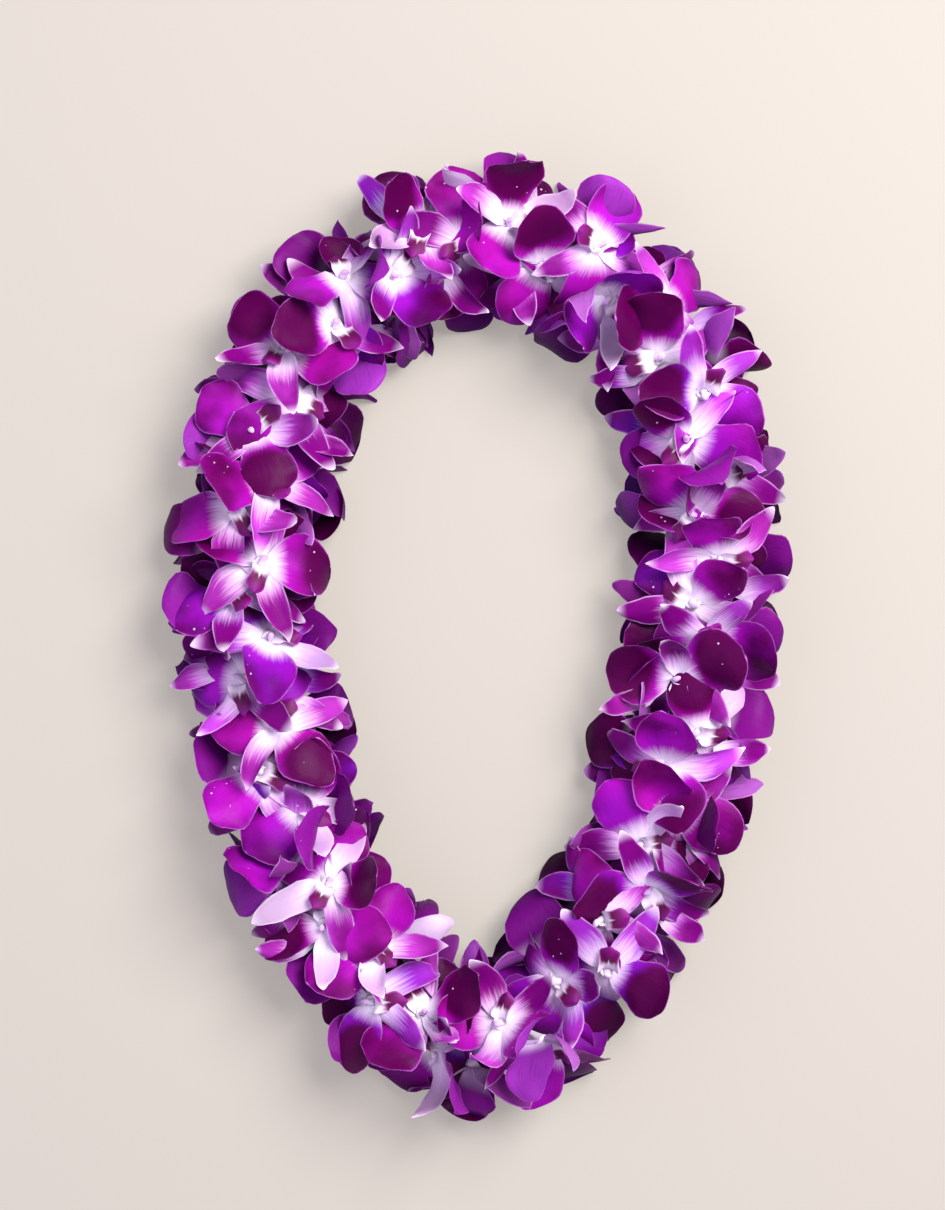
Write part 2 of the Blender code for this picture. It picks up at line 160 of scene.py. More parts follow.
@dataclass(frozen=True)
class Value:
    """A socket that carries a number. Arithmetic on it adds Math nodes to its tree."""

    graph: "NodeGraph"
    socket: Socket

    def __add__(self, other: "Number") -> "Value":
        """This number plus another."""
        return self.graph.math("ADD", self, other)

    __radd__ = __add__

    def __sub__(self, other: "Number") -> "Value":
        """This number less another."""
        return self.graph.math("SUBTRACT", self, other)

    def __rsub__(self, other: "Number") -> "Value":
        """Another number less this one."""
        return self.graph.math("SUBTRACT", other, self)

    def __mul__(self, other: "Number") -> "Value":
        """This number times another."""
        return self.graph.math("MULTIPLY", self, other)

    __rmul__ = __mul__

    def size(self) -> "Value":
        """This number without its sign."""
        return self.graph.math("ABSOLUTE", self, 0.0)

    def over(self, other: "Number") -> "Value":
        """The larger of this number and another."""
        return self.graph.math("MAXIMUM", self, other)

    def past(self, other: "Number") -> "Value":
        """One where this number is larger than another, else zero."""
        return self.graph.math("GREATER_THAN", self, other)

    def eased(self, start: "Number", most: "Number") -> "Value":
        """The number itself up to a start, and past it ever closer to the most that it may be.

        Args:
            start: where the easing starts.
            most: what the result never passes.

        Returns:
            The eased number.
        """
        room = self.graph.math("SUBTRACT", most, start)
        past = (self - start).over(0.0)
        left = self.graph.math("EXPONENT", self.graph.math("DIVIDE", past * -1.0, room), 0.0)
        return self - past + room * (1.0 - left)

    def rises(self, low: "Number", high: "Number") -> "Value":
        """Smoothly from 0, where this number is at the first value or under it, to 1 at the second.

        Args:
            low: where the rise starts.
            high: where the rise ends.

        Returns:
            The share of the rise, from 0 to 1.
        """
        made = self.graph.node(
            "ShaderNodeMapRange",
            {"interpolation_type": "SMOOTHSTEP"},
            {"Value": self, "From Min": low, "From Max": high},
        )
        return Value(self.graph, made.outputs["Result"])


Number = Value | float


@dataclass(frozen=True)
class NodeGraph:
    """A node tree under construction."""

    tree: bpy.types.NodeTree

    def feed(self, socket: Socket, value: Any) -> None:
        """Links a socket to a value's socket, or sets it.

        Args:
            socket: the input socket.
            value: a Value, a socket to link from, or a plain setting.
        """
        source = value.socket if isinstance(value, Value) else value
        if isinstance(source, Socket):
            self.tree.links.new(source, socket)
        else:
            socket.default_value = source

    def node(self, kind: str, settings: dict | None = None, sockets: dict | None = None) -> bpy.types.Node:
        """Adds a node.

        Args:
            kind: the node's type.
            settings: what is set on the node itself, first.
            sockets: values or links for its inputs, by name or place.

        Returns:
            The new node.
        """
        made = self.tree.nodes.new(kind)
        for name, setting in (settings or {}).items():
            setattr(made, name, setting)
        for key, value in (sockets or {}).items():
            self.feed(made.inputs[key], value)
        return made

    def math(self, operation: str, first: Number, second: Number) -> Value:
        """A Math node's result."""
        made = self.node("ShaderNodeMath", {"operation": operation}, {0: first, 1: second})
        return Value(self, made.outputs[0])

    def vector_math(self, operation: str, first: Any, second: Any) -> Socket:
        """A Vector Math node's result."""
        made = self.node("ShaderNodeVectorMath", {"operation": operation}, {0: first, 1: second})
        return made.outputs[0]

    def scaled(self, vector: Any, factor: Number) -> Socket:
        """A vector times a number."""
        made = self.node("ShaderNodeVectorMath", {"operation": "SCALE"}, {0: vector, "Scale": factor})
        return made.outputs[0]

    def vector(self, x: Number, y: Number, z: Number) -> Socket:
        """A vector of three numbers."""
        return self.node("ShaderNodeCombineXYZ", None, {"X": x, "Y": y, "Z": z}).outputs[0]

    def parts(self, vector: Any) -> list[Value]:
        """The three numbers of a vector."""
        made = self.node("ShaderNodeSeparateXYZ", None, {0: vector})
        return [Value(self, socket) for socket in made.outputs]

    def noise(self, place: Any, scale: Number, detail: float = 2.0, output: str = "Fac") -> Value:
        """Smooth noise at a place, round a half."""
        made = self.node("ShaderNodeTexNoise", None, {"Vector": place, "Scale": scale, "Detail": detail})
        return Value(self, made.outputs[output])

    def blend(self, share: Number, first: Any, second: Any, mode: str = "MIX") -> Socket:
        """One colour blended with another.

        Args:
            share: how much of the second, from 0 to 1.
            first: a colour or its socket.
            second: a colour or its socket.
            mode: how the Mix node blends them.

        Returns:
            The blended colour's socket.
        """
        ends = [(*end, 1.0) if isinstance(end, tuple) else end for end in (first, second)]
        settings = {"data_type": "RGBA", "blend_type": mode}
        made = self.node("ShaderNodeMix", settings, {0: share, 6: ends[0], 7: ends[1]})
        return made.outputs[2]


@dataclass(frozen=True)
class ShaderGraph(NodeGraph):
    """The node tree of one material."""

    material: bpy.types.Material

    @classmethod
    def named(cls, name: str) -> "ShaderGraph":
        """An empty material of that name.

        Args:
            name: the material's name.

        Returns:
            The material's tree.
        """
        material = bpy.data.materials.new(name)
        material.use_nodes = True
        material.node_tree.nodes.clear()
        return cls(material.node_tree, material)

    def reading(self, name: str) -> Value:
        """A number stored on the mesh."""
        made = self.node("ShaderNodeAttribute", {"attribute_name": name})
        return Value(self, made.outputs["Fac"])

    def place(self) -> Socket:
        """The place on the object."""
        return self.node("ShaderNodeTexCoord").outputs["Object"]

    def bump(self, height: Value, strength: float, distance: float) -> Socket:
        """A normal that leans as a height rises."""
        sockets = {"Height": height, "Strength": strength, "Distance": distance}
        return self.node("ShaderNodeBump", None, sockets).outputs["Normal"]

    def finished(self, sockets: dict) -> bpy.types.Material:
        """Ends the tree with the surface.

        Args:
            sockets: values or links for the surface's own sockets, by name.

        Returns:
            The finished material.
        """
        surface = self.node("ShaderNodeBsdfPrincipled", None, sockets)
        self.node("ShaderNodeOutputMaterial", None, {"Surface": surface.outputs[0]})
        return self.material


@dataclass(frozen=True)
class GrowthGraph(NodeGraph):
    """A Geometry Nodes tree with named inputs."""

    entry: bpy.types.Node

    @classmethod
    def named(cls, name: str, inputs: dict[str, str]) -> "GrowthGraph":
        """An empty tree.

        Args:
            name: the tree's name.
            inputs: each further input's name and socket type.

        Returns:
            The tree with its entry node.
        """
        tree = bpy.data.node_groups.new(name, "GeometryNodeTree")
        tree.interface.new_socket("Geometry", in_out="INPUT", socket_type="NodeSocketGeometry")
        tree.interface.new_socket("Geometry", in_out="OUTPUT", socket_type="NodeSocketGeometry")
        for label, kind in inputs.items():
            tree.interface.new_socket(label, in_out="INPUT", socket_type=kind)
        return cls(tree, tree.nodes.new("NodeGroupInput"))

    def given(self, name: str) -> Value:
        """One of the tree's inputs."""
        return Value(self, self.entry.outputs[name])

    def reading(self, name: str, kind: str = "FLOAT") -> Value:
        """A value stored on the geometry."""
        made = self.node("GeometryNodeInputNamedAttribute", {"data_type": kind}, {"Name": name})
        return Value(self, next(socket for socket in made.outputs if socket.enabled))

    def place(self) -> Socket:
        """The place of each point of the geometry."""
        return self.node("GeometryNodeInputPosition").outputs[0]

    def moved(self, geometry: Any, place: Any) -> Socket:
        """The geometry with its points put at a new place."""
        sockets = {"Geometry": geometry, "Position": place}
        return self.node("GeometryNodeSetPosition", None, sockets).outputs[0]

    def dressed(
        self, geometry: Any, material: bpy.types.Material, where: Any = True
    ) -> Socket:
        """The geometry with a material on some of its faces."""
        sockets = {"Geometry": geometry, "Selection": where, "Material": material}
        return self.node("GeometryNodeSetMaterial", None, sockets).outputs[0]

    def ends(self, geometry: Any) -> None:
        """Ends the tree with its result."""
        self.node("NodeGroupOutput", None, {"Geometry": geometry})

    def grown(self, source: bpy.types.Object, name: str, inputs: dict[str, Any]) -> bpy.types.Object:
        """Runs the tree on an object and keeps the result as a plain mesh.

        Args:
            source: the object that the tree reads, which is removed.
            name: the new object's name.
            inputs: the values of the tree's inputs, by name.

        Returns:
            The new object, with no modifier.
        """
        modifier = source.modifiers.new("growth", "NODES")
        modifier.node_group = self.tree
        for item in self.tree.interface.items_tree:
            if item.in_out == "INPUT" and item.name in inputs:
                modifier[item.identifier] = inputs[item.name]
        bpy.context.view_layer.update()
        graph = bpy.context.evaluated_depsgraph_get()
        evaluated = source.evaluated_get(graph)
        mesh = bpy.data.meshes.new_from_object(evaluated, preserve_all_data_layers=True, depsgraph=graph)
        source.modifiers.remove(modifier)
        bpy.data.objects.remove(source)
        mesh.name = name
        return placed(name, mesh)


# ---- Where the blooms sit: the rule that the solids follow too ----


@dataclass(frozen=True)
class StringRoute:
    """The closed smooth curve that the string follows, read by the distance along it."""

    corners: tuple[tuple[float, float], ...] = (
        (0.110, 0.000), (0.118, 0.060), (0.111, 0.116), (0.085, 0.163), (0.045, 0.195), (-0.004, 0.203),
        (-0.050, 0.184), (-0.084, 0.146), (-0.103, 0.104), (-0.110, 0.054), (-0.110, 0.000),
        (-0.100, -0.056), (-0.079, -0.116), (-0.053, -0.162), (-0.020, -0.191), (0.020, -0.192),
        (0.054, -0.165), (0.081, -0.120), (0.101, -0.064),
    )  # fmt: skip
    samples: int = 40
    fineness: int = 500  # a tangent is taken over one of so many shares of the length, to each side
    height: float = 0.024
    bunch_lean: float = math.tan(math.radians(38))

    @functools.cached_property
    def points(self) -> np.ndarray:
        """Close points on the curve, the first one again at the end.

        Returns:
            The points, one row each.
        """
        corners = np.array(self.corners)
        samples = []
        for i in range(len(corners)):
            before, start, end, after = (corners[(i + k) % len(corners)] for k in (-1, 0, 1, 2))
            for t in np.arange(self.samples) / self.samples:
                square = 2 * before - 5 * start + 4 * end - after
                cube = 3 * start - before - 3 * end + after
                samples.append(start + ((end - before) * t + square * t**2 + cube * t**3) / 2)
        samples.append(samples[0])
        return np.array(samples)

    @functools.cached_property
    def along(self) -> np.ndarray:
        """The distance along the curve at each of its points."""
        steps = np.linalg.norm(np.diff(self.points, axis=0), axis=1)
        return np.concatenate(([0.0], np.cumsum(steps)))

    @property
    def length(self) -> float:
        """The distance once round."""
        return self.along[-1]

    def point(self, distance: float) -> np.ndarray:
        """The string's middle at that distance."""
        x, y = (np.interp(distance % self.length, self.along, self.points[:, i]) for i in (0, 1))
        return np.array((x, y, self.height))

    def tangent(self, distance: float) -> np.ndarray:
        """The way the string runs there, counter-clockwise seen from above."""
        reach = self.length / self.fineness
        return unit(self.point(distance + reach) - self.point(distance - reach))

    def outward(self, distance: float) -> np.ndarray:
        """The level direction there that leaves the ring."""
        return np.cross(self.tangent(distance), UP)

    def ring(self, distance: float, radius: float, sides: int) -> list[np.ndarray]:
        """Points round the string, in a plane that leans as the ends of a bunch do.

        Args:
            distance: how far along the string.
            radius: how far from it.
            sides: how many points.

        Returns:
            The points, in order.
        """
        points = []
        for angle in np.arange(sides) * 2 * math.pi / sides:
            height = radius * math.cos(angle)
            across = self.outward(distance) * radius * math.sin(angle)
            leaning = (UP + self.tangent(distance) * self.bunch_lean) * height
            points.append(self.point(distance) + leaning + across)
        return points


class Kind(Enum):
    """What a grown piece is, which also says what it is made of."""

    PETAL = 0
    SEPAL = 1
    LIP = 2
    COLUMN = 3
    STALK = 4


Outline = tuple[tuple[float, float], ...]


@dataclass(frozen=True)
class Lobe:
    """One lobe of a bloom. Its angles are in degrees, and the dorsal sepal is at 90 in the face.

    Its outline is pairs of a share of the length and half a share of the width, from the base to the tip.
    """

    kind: Kind
    angle: float
    half_base: float
    length: float
    width: float
    rise: float
    outline: Outline


PETAL_OUTLINE: Outline = ((0.52, 0.50), (0.94, 0.27))
SEPAL_OUTLINE: Outline = ((0.50, 0.50), (1.0, 0.0))
LIP_OUTLINE: Outline = ((0.50, 0.50), (1.0, 0.28))
PRESSED_OUTLINE: Outline = ((0.62, 0.48), (1.0, 0.0))
UPPER_LOBES = (
    Lobe(Kind.PETAL, 18, 44, 0.035, 0.030, 12, PETAL_OUTLINE),
    Lobe(Kind.SEPAL, 90, 28, 0.033, 0.014, 4, SEPAL_OUTLINE),
    Lobe(Kind.PETAL, 162, 44, 0.035, 0.030, 12, PETAL_OUTLINE),
    Lobe(Kind.SEPAL, 232, 26, 0.033, 0.015, 2, SEPAL_OUTLINE),
    Lobe(Kind.LIP, 270, 12, 0.021, 0.017, 52, LIP_OUTLINE),
    Lobe(Kind.SEPAL, 308, 26, 0.033, 0.015, 2, SEPAL_OUTLINE),
)
LOWER_LOBES = (
    Lobe(Kind.PETAL, 18, 44, 0.035, 0.030, 12, PRESSED_OUTLINE),
    Lobe(Kind.SEPAL, 90, 28, 0.033, 0.014, 4, SEPAL_OUTLINE),
    Lobe(Kind.PETAL, 162, 44, 0.035, 0.030, 12, PRESSED_OUTLINE),
    Lobe(Kind.SEPAL, 238, 32, 0.033, 0.015, 2, SEPAL_OUTLINE),
    Lobe(Kind.SEPAL, 302, 32, 0.033, 0.015, 2, SEPAL_OUTLINE),
)
HUB_RADIUS = 0.0040
COLUMN_LENGTH = 0.0050
CROSSING_SPACE = 0.0007  # to each side of a lobe's middle surface


def rim_point(degrees: float) -> np.ndarray:
    """A point of the hub's rim, in the bloom's own frame."""
    angle = math.radians(degrees)
    return np.array((HUB_RADIUS * math.cos(angle), HUB_RADIUS * math.sin(angle), 0.0))


def lobe_frame(lobe: Lobe, swing: float) -> tuple[np.ndarray, ...]:
    """Where a lobe starts and which way it points, in the bloom's own frame.

    Args:
        lobe: the lobe.
        swing: how far it is swung towards the bloom's face, in degrees.

    Returns:
        The middle of its base and its outward, sideways and upward directions.
    """
    angle, rise = math.radians(lobe.angle), math.radians(lobe.rise + swing)
    flat = np.array((math.cos(angle), math.sin(angle), 0.0))
    outwards = flat * math.cos(rise) + UP * math.sin(rise)
    sideways = np.array((-flat[1], flat[0], 0.0))
    base = flat * HUB_RADIUS * math.cos(math.radians(lobe.half_base))
    return base, outwards, sideways, np.cross(outwards, sideways)


@functools.cache
def lobe_outline(lobe: Lobe, swing: float) -> np.ndarray:
    """A lobe's outline past the hub's rim, from its right side round the tip, in the bloom's own frame.

    Args:
        lobe: the lobe.
        swing: how far it is swung, in degrees.

    Returns:
        The points of the outline, one row each.
    """
    base, outwards, sideways, _ = lobe_frame(lobe, swing)
    right = [(share, -half) for share, half in lobe.outline]
    left = [(share, half) for share, half in reversed(lobe.outline) if half]
    return np.array(
        [
            base + outwards * share * lobe.length + sideways * half * lobe.width
            for share, half in right + left
        ]
    )


@functools.cache
def lobe_slab(lobe: Lobe, swing: float, start: float = 0.0) -> list[np.ndarray]:
    """The two faces of the thick sheet that has to stay clear of others, from a share of its length on.

    Args:
        lobe: the lobe.
        swing: how far it is swung, in degrees.
        start: the share of its length that the sheet starts at.

    Returns:
        The lower face and the upper.
    """
    base, outwards, sideways, normal = lobe_frame(lobe, swing)
    middle = base + outwards * start * lobe.length
    half = sideways * HUB_RADIUS * math.sin(math.radians(lobe.half_base))
    corners = np.vstack((middle - half, lobe_outline(lobe, swing), middle + half))
    return [corners + normal * CROSSING_SPACE * side for side in (-1, 1)]


@dataclass(frozen=True, eq=False)
class Bloom:
    """Where one bloom sits: its throat, its right, dorsal and face directions, its spur's tip and lobes."""

    hub: np.ndarray
    axes: np.ndarray
    root: np.ndarray
    lobes: tuple[Lobe, ...]
    swings: tuple[float, ...] = ()

    def world(self, local: Any) -> np.ndarray:
        """Points of the bloom's own frame, in the lei's."""
        return self.hub + np.asarray(local) @ self.axes

    def hub_faces(self) -> list[Face]:
        """The faces from the hub's rim to the column's tip and to the spur's."""
        rim = [self.world(rim_point(lobe.angle + lobe.half_base)) for lobe in self.lobes]
        tips = (self.world((0, 0, COLUMN_LENGTH)), self.root)
        return [np.array((rim[i - 1], rim[i], tip)) for i in range(len(rim)) for tip in tips]

    def pieces(self) -> list[list[Face]]:
        """The hub and the lobes, each a list of faces."""
        slabs = [lobe_slab(lobe, swing) for lobe, swing in zip(self.lobes, self.swings)]
        return [self.hub_faces()] + [[self.world(face) for face in slab] for slab in slabs]

    def petal_middles(self) -> list[np.ndarray]:
        """The middles of the two broad petals, which show most."""
        petals = [lobe for lobe in self.lobes if lobe.kind is Kind.PETAL]
        return [self.world(lobe_outline(lobe, 0)).mean(axis=0) for lobe in petals]


def tree_of(faces: Iterable[Face]) -> BVHTree:
    """A search tree of some faces.

    Args:
        faces: the faces, each its corners.

    Returns:
        The tree.
    """
    points, polygons = [], []
    for face in faces:
        polygons.append(range(len(points), len(points) + len(face)))
        points.extend(face)
    return BVHTree.FromPolygons(points, polygons)


class Crowd:
    """Pieces already in place, to count how many of them another piece crosses or all but touches."""

    def __init__(self, pieces: list[list[Face]]) -> None:
        """Keeps the pieces, each a list of faces."""
        self.owners = [owner for owner, piece in enumerate(pieces) for _ in piece]
        self.tree = tree_of([face for piece in pieces for face in piece])

    def crossings(self, piece: list[Face]) -> int:
        """How many of the pieces this one crosses."""
        return len({self.owners[other] for _, other in tree_of(piece).overlap(self.tree)})


@dataclass(frozen=True)
class BloomPlanner:
    """Sets the blooms on the string, each the best placed of many drawn at random."""

    route: StringRoute = StringRoute()
    bunches: int = 16
    stations_per_bunch: int = 3
    blooms_per_station: int = 2
    seed: int = 8
    hub_distance: float = 0.0155
    hub_jitter: float = 0.0025
    station_jitter: float = 0.0025
    upper_turn: float = 38
    lower_turn: float = 152
    turn_jitter: float = 20
    face_lean: float = math.tan(math.radians(20))
    face_jitter: float = 0.25
    spur_tip_distance: float = 0.0034
    core_radius: float = 0.0058
    core_sides: int = 6
    core_stops: int = 3
    blade: float = 0.0009
    ceiling: float = 0.066
    bunch_gap: float = 0.0003
    knot_gap: float = 0.0022
    wall_margin: float = 0.0007
    candidates: int = 24
    rounds: int = 4
    swing_step: int = 4
    swing_forward: int = 76
    swing_back: int = 44
    easy_swing: float = 30
    crossing_cost: float = 3.0
    past_wall_cost: float = 30000
    crowd_reach: float = 0.011
    own_start: float = 0.18

    def past_walls(self, points: np.ndarray, walls: list[Wall]) -> float:
        """How far the points reach past the walls, in metres, or 0 where they are all clear."""
        return max(0.0, max((margin - (points - at) @ normal).max() for at, normal, margin in walls))

    def swing_lobe(
        self, bloom: Bloom, lobe: Lobe, walls: list[Wall], near: Crowd, own: Crowd | None
    ) -> tuple[float, float]:
        """A lobe's swing from its rest that costs least: small, clear of the walls and crossing little.

        Args:
            bloom: the bloom that the lobe is on.
            lobe: the lobe.
            walls: what the lobe stays inside.
            near: the pieces of the other blooms.
            own: the lobes of this bloom that are already set.

        Returns:
            The cost and the swing in degrees.
        """
        best = (math.inf, 0)
        for size in range(0, self.swing_forward + 1, self.swing_step):
            effort = (size / self.easy_swing) ** 2
            if effort >= best[0]:
                break
            for swing in (size, -size):
                if swing < -self.swing_back:
                    continue
                reach = self.past_walls(bloom.world(lobe_outline(lobe, swing)), walls)
                cost = effort + self.past_wall_cost * reach
                if cost < best[0]:
                    slab = [bloom.world(face) for face in lobe_slab(lobe, swing)]
                    cost += self.crossing_cost * near.crossings(slab)
                if cost < best[0] and own:
                    outer = [bloom.world(face) for face in lobe_slab(lobe, swing, self.own_start)]
                    cost += self.crossing_cost * own.crossings(outer)
                best = min(best, (cost, swing))
        return best

    def settled(self, bloom: Bloom, walls: list[Wall], near: Crowd, enough: float) -> tuple[Bloom, float]:
        """The bloom with its lobes swung clear.

        Args:
            bloom: the bloom, its lobes at rest.
            walls: what it stays inside.
            near: the pieces of the other blooms.
            enough: the cost past which it gives up.

        Returns:
            The bloom and what its swings and crossings cost.
        """
        own, swings = [], {}
        total = self.crossing_cost * near.crossings(bloom.hub_faces())
        for i in sorted(range(len(bloom.lobes)), key=lambda i: -bloom.lobes[i].width):
            lobe = bloom.lobes[i]
            cost, swings[i] = self.swing_lobe(bloom, lobe, walls, near, Crowd(own) if own else None)
            own.append([bloom.world(face) for face in lobe_slab(lobe, swings[i], self.own_start)])
            total += cost
            if total >= enough:
                return bloom, math.inf
        return replace(bloom, swings=tuple(swings[i] for i in range(len(bloom.lobes)))), total

    def crowding(self, bloom: Bloom, others: list[Bloom]) -> float:
        """How much a bloom's petals lie on those of the others.

        Args:
            bloom: the bloom.
            others: the blooms round it.

        Returns:
            The crowding, from 0.
        """
        return sum(
            math.exp(-((np.linalg.norm(mine - theirs) / self.crowd_reach) ** 2))
            for mine in bloom.petal_middles()
            for other in others
            for theirs in other.petal_middles()
        )

    def best_bloom(
        self, candidates: list[Bloom], walls: list[Wall], near: Crowd, others: list[Bloom]
    ) -> Bloom:
        """The candidate that crosses, swings and crowds least.

        Args:
            candidates: the blooms to choose from.
            walls: what they stay inside.
            near: the pieces of the other blooms.
            others: the blooms whose petals it shouldn't cover.

        Returns:
            The best one, its lobes swung.
        """
        best, least = candidates[0], math.inf
        for bloom in candidates:
            cost = self.crowding(bloom, others)
            if cost < least:
                bloom, strain = self.settled(bloom, walls, near, least - cost)
                if cost + strain < least:
                    best, least = bloom, cost + strain
        return best

    def drawn_bloom(
        self, distance: float, turn: float, lobes: tuple[Lobe, ...], draw: random.Random
    ) -> Bloom:
        """A bloom on the string, its face drawn at random round a turn.

        Args:
            distance: how far along the string.
            turn: degrees round the string, from straight up.
            lobes: what the bloom has.
            draw: the random draws.

        Returns:
            The bloom, its lobes at rest.
        """
        angle = math.radians(turn + draw.uniform(-self.turn_jitter, self.turn_jitter))
        at = distance + draw.uniform(-self.station_jitter, self.station_jitter)
        tangent, outward = self.route.tangent(at), self.route.outward(at)
        radial = math.cos(angle) * UP + math.sin(angle) * outward
        around = -math.sin(angle) * UP + math.cos(angle) * outward
        lean = draw.uniform(-self.face_jitter, self.face_jitter) - self.face_lean * math.cos(angle)
        sway = draw.uniform(-self.face_jitter, self.face_jitter)
        face = unit(radial + lean * tangent + sway * around)
        roll = draw.uniform(0, 2 * math.pi)
        level = unit(np.cross(face, tangent))
        dorsal = math.cos(roll) * level + math.sin(roll) * np.cross(face, level)
        reach = self.hub_distance + draw.uniform(-self.hub_jitter, self.hub_jitter)
        leaning = radial + tangent * self.route.bunch_lean * math.cos(angle)
        hub = self.route.point(at) + leaning * reach
        root = self.route.point(at) + leaning * self.spur_tip_distance
        return Bloom(hub, np.array((np.cross(dorsal, face), dorsal, face)), root, lobes)

    def end_gap(self, bunch: int, sign: int) -> float:
        """The room a bunch leaves to the plane at its start (sign 1) or end (sign -1)."""
        at_knot = (bunch == 0 and sign == 1) or (bunch == self.bunches - 1 and sign == -1)
        return self.knot_gap if at_knot else self.bunch_gap

    def walls(self, bunch: int) -> list[Wall]:
        """What a bunch stays inside: the surface, a height and the leaning planes beside its neighbours.

        Args:
            bunch: which bunch, from 0.

        Returns:
            The walls.
        """
        spacing = self.route.length / self.bunches
        walls = [(np.zeros(3), UP, self.blade / 2), (self.ceiling * UP, -UP, 0.0)]
        for distance, sign in ((bunch * spacing, 1), ((bunch + 1) * spacing, -1)):
            normal = unit(self.route.tangent(distance) - self.route.bunch_lean * UP)
            margin = self.wall_margin + self.end_gap(bunch, sign)
            walls.append((self.route.point(distance), sign * normal, margin))
        return walls

    def core(self, bunch: int) -> list[Face]:
        """The faces round a bunch's core, which is the crowded spurs round the string.

        Args:
            bunch: which bunch, from 0.

        Returns:
            The faces.
        """
        spacing = self.route.length / self.bunches
        start = bunch * spacing + 2 * self.end_gap(bunch, 1)
        end = (bunch + 1) * spacing - 2 * self.end_gap(bunch, -1)
        stops = np.linspace(start, end, self.core_stops)
        rings = [self.route.ring(distance, self.core_radius, self.core_sides) for distance in stops]
        return [
            (ring[side - 1], ring[side], following[side], following[side - 1])
            for ring, following in itertools.pairwise(rings)
            for side in range(self.core_sides)
        ]

    def place_bunch(self, bunch: int, before: list[Bloom], draw: random.Random) -> list[Bloom]:
        """The blooms of one bunch, each the best placed among the rest.

        Args:
            bunch: which bunch, from 0.
            before: the blooms of the bunch before it.
            draw: the random draws.

        Returns:
            The blooms, by station and place.
        """
        walls, core = self.walls(bunch), self.core(bunch)
        spacing = self.route.length / (self.bunches * self.stations_per_bunch)
        places = list(itertools.product(range(self.stations_per_bunch), range(self.blooms_per_station)))
        blooms = {}
        for _ in range(self.rounds):
            for step, place in places:
                station = bunch * self.stations_per_bunch + step
                turn = (self.upper_turn - place * self.lower_turn) * (1 if station % 2 else -1)
                lobes = LOWER_LOBES if place else UPPER_LOBES
                drawn = [blooms.pop((step, place))] if (step, place) in blooms else []
                for _ in range(self.candidates):
                    drawn.append(self.drawn_bloom((station + 0.5) * spacing, turn, lobes, draw))
                near = Crowd([core] + [piece for other in blooms.values() for piece in other.pieces()])
                blooms[step, place] = self.best_bloom(drawn, walls, near, before + list(blooms.values()))
        return [blooms[key] for key in sorted(blooms)]

    def lay_out(self) -> list[list[Bloom]]:
        """Every bunch's blooms, from one seeded draw.

        Returns:
            The blooms of each bunch.
        """
        draw = random.Random(self.seed)
        bunches: list[list[Bloom]] = [[]]
        for bunch in range(self.bunches):
            bunches.append(self.place_bunch(bunch, bunches[-1], draw))
        return bunches[1:]


# ---- Finishes ----


@dataclass(frozen=True)
class BladeReadings:
    """What a blade's finish reads at a point: its place on the blade, the bloom's tones, and patterns."""

    along: Value
    edge: Value  # from 0 in the middle to 1 at both margins
    tone: Value
    hue: Value
    pale: Value
    # painted shade: 1 low in the band, where the petals are darkened, falling to 0 above it
    low: Value
    mottle: Value
    cloud: Value
    veins: Value


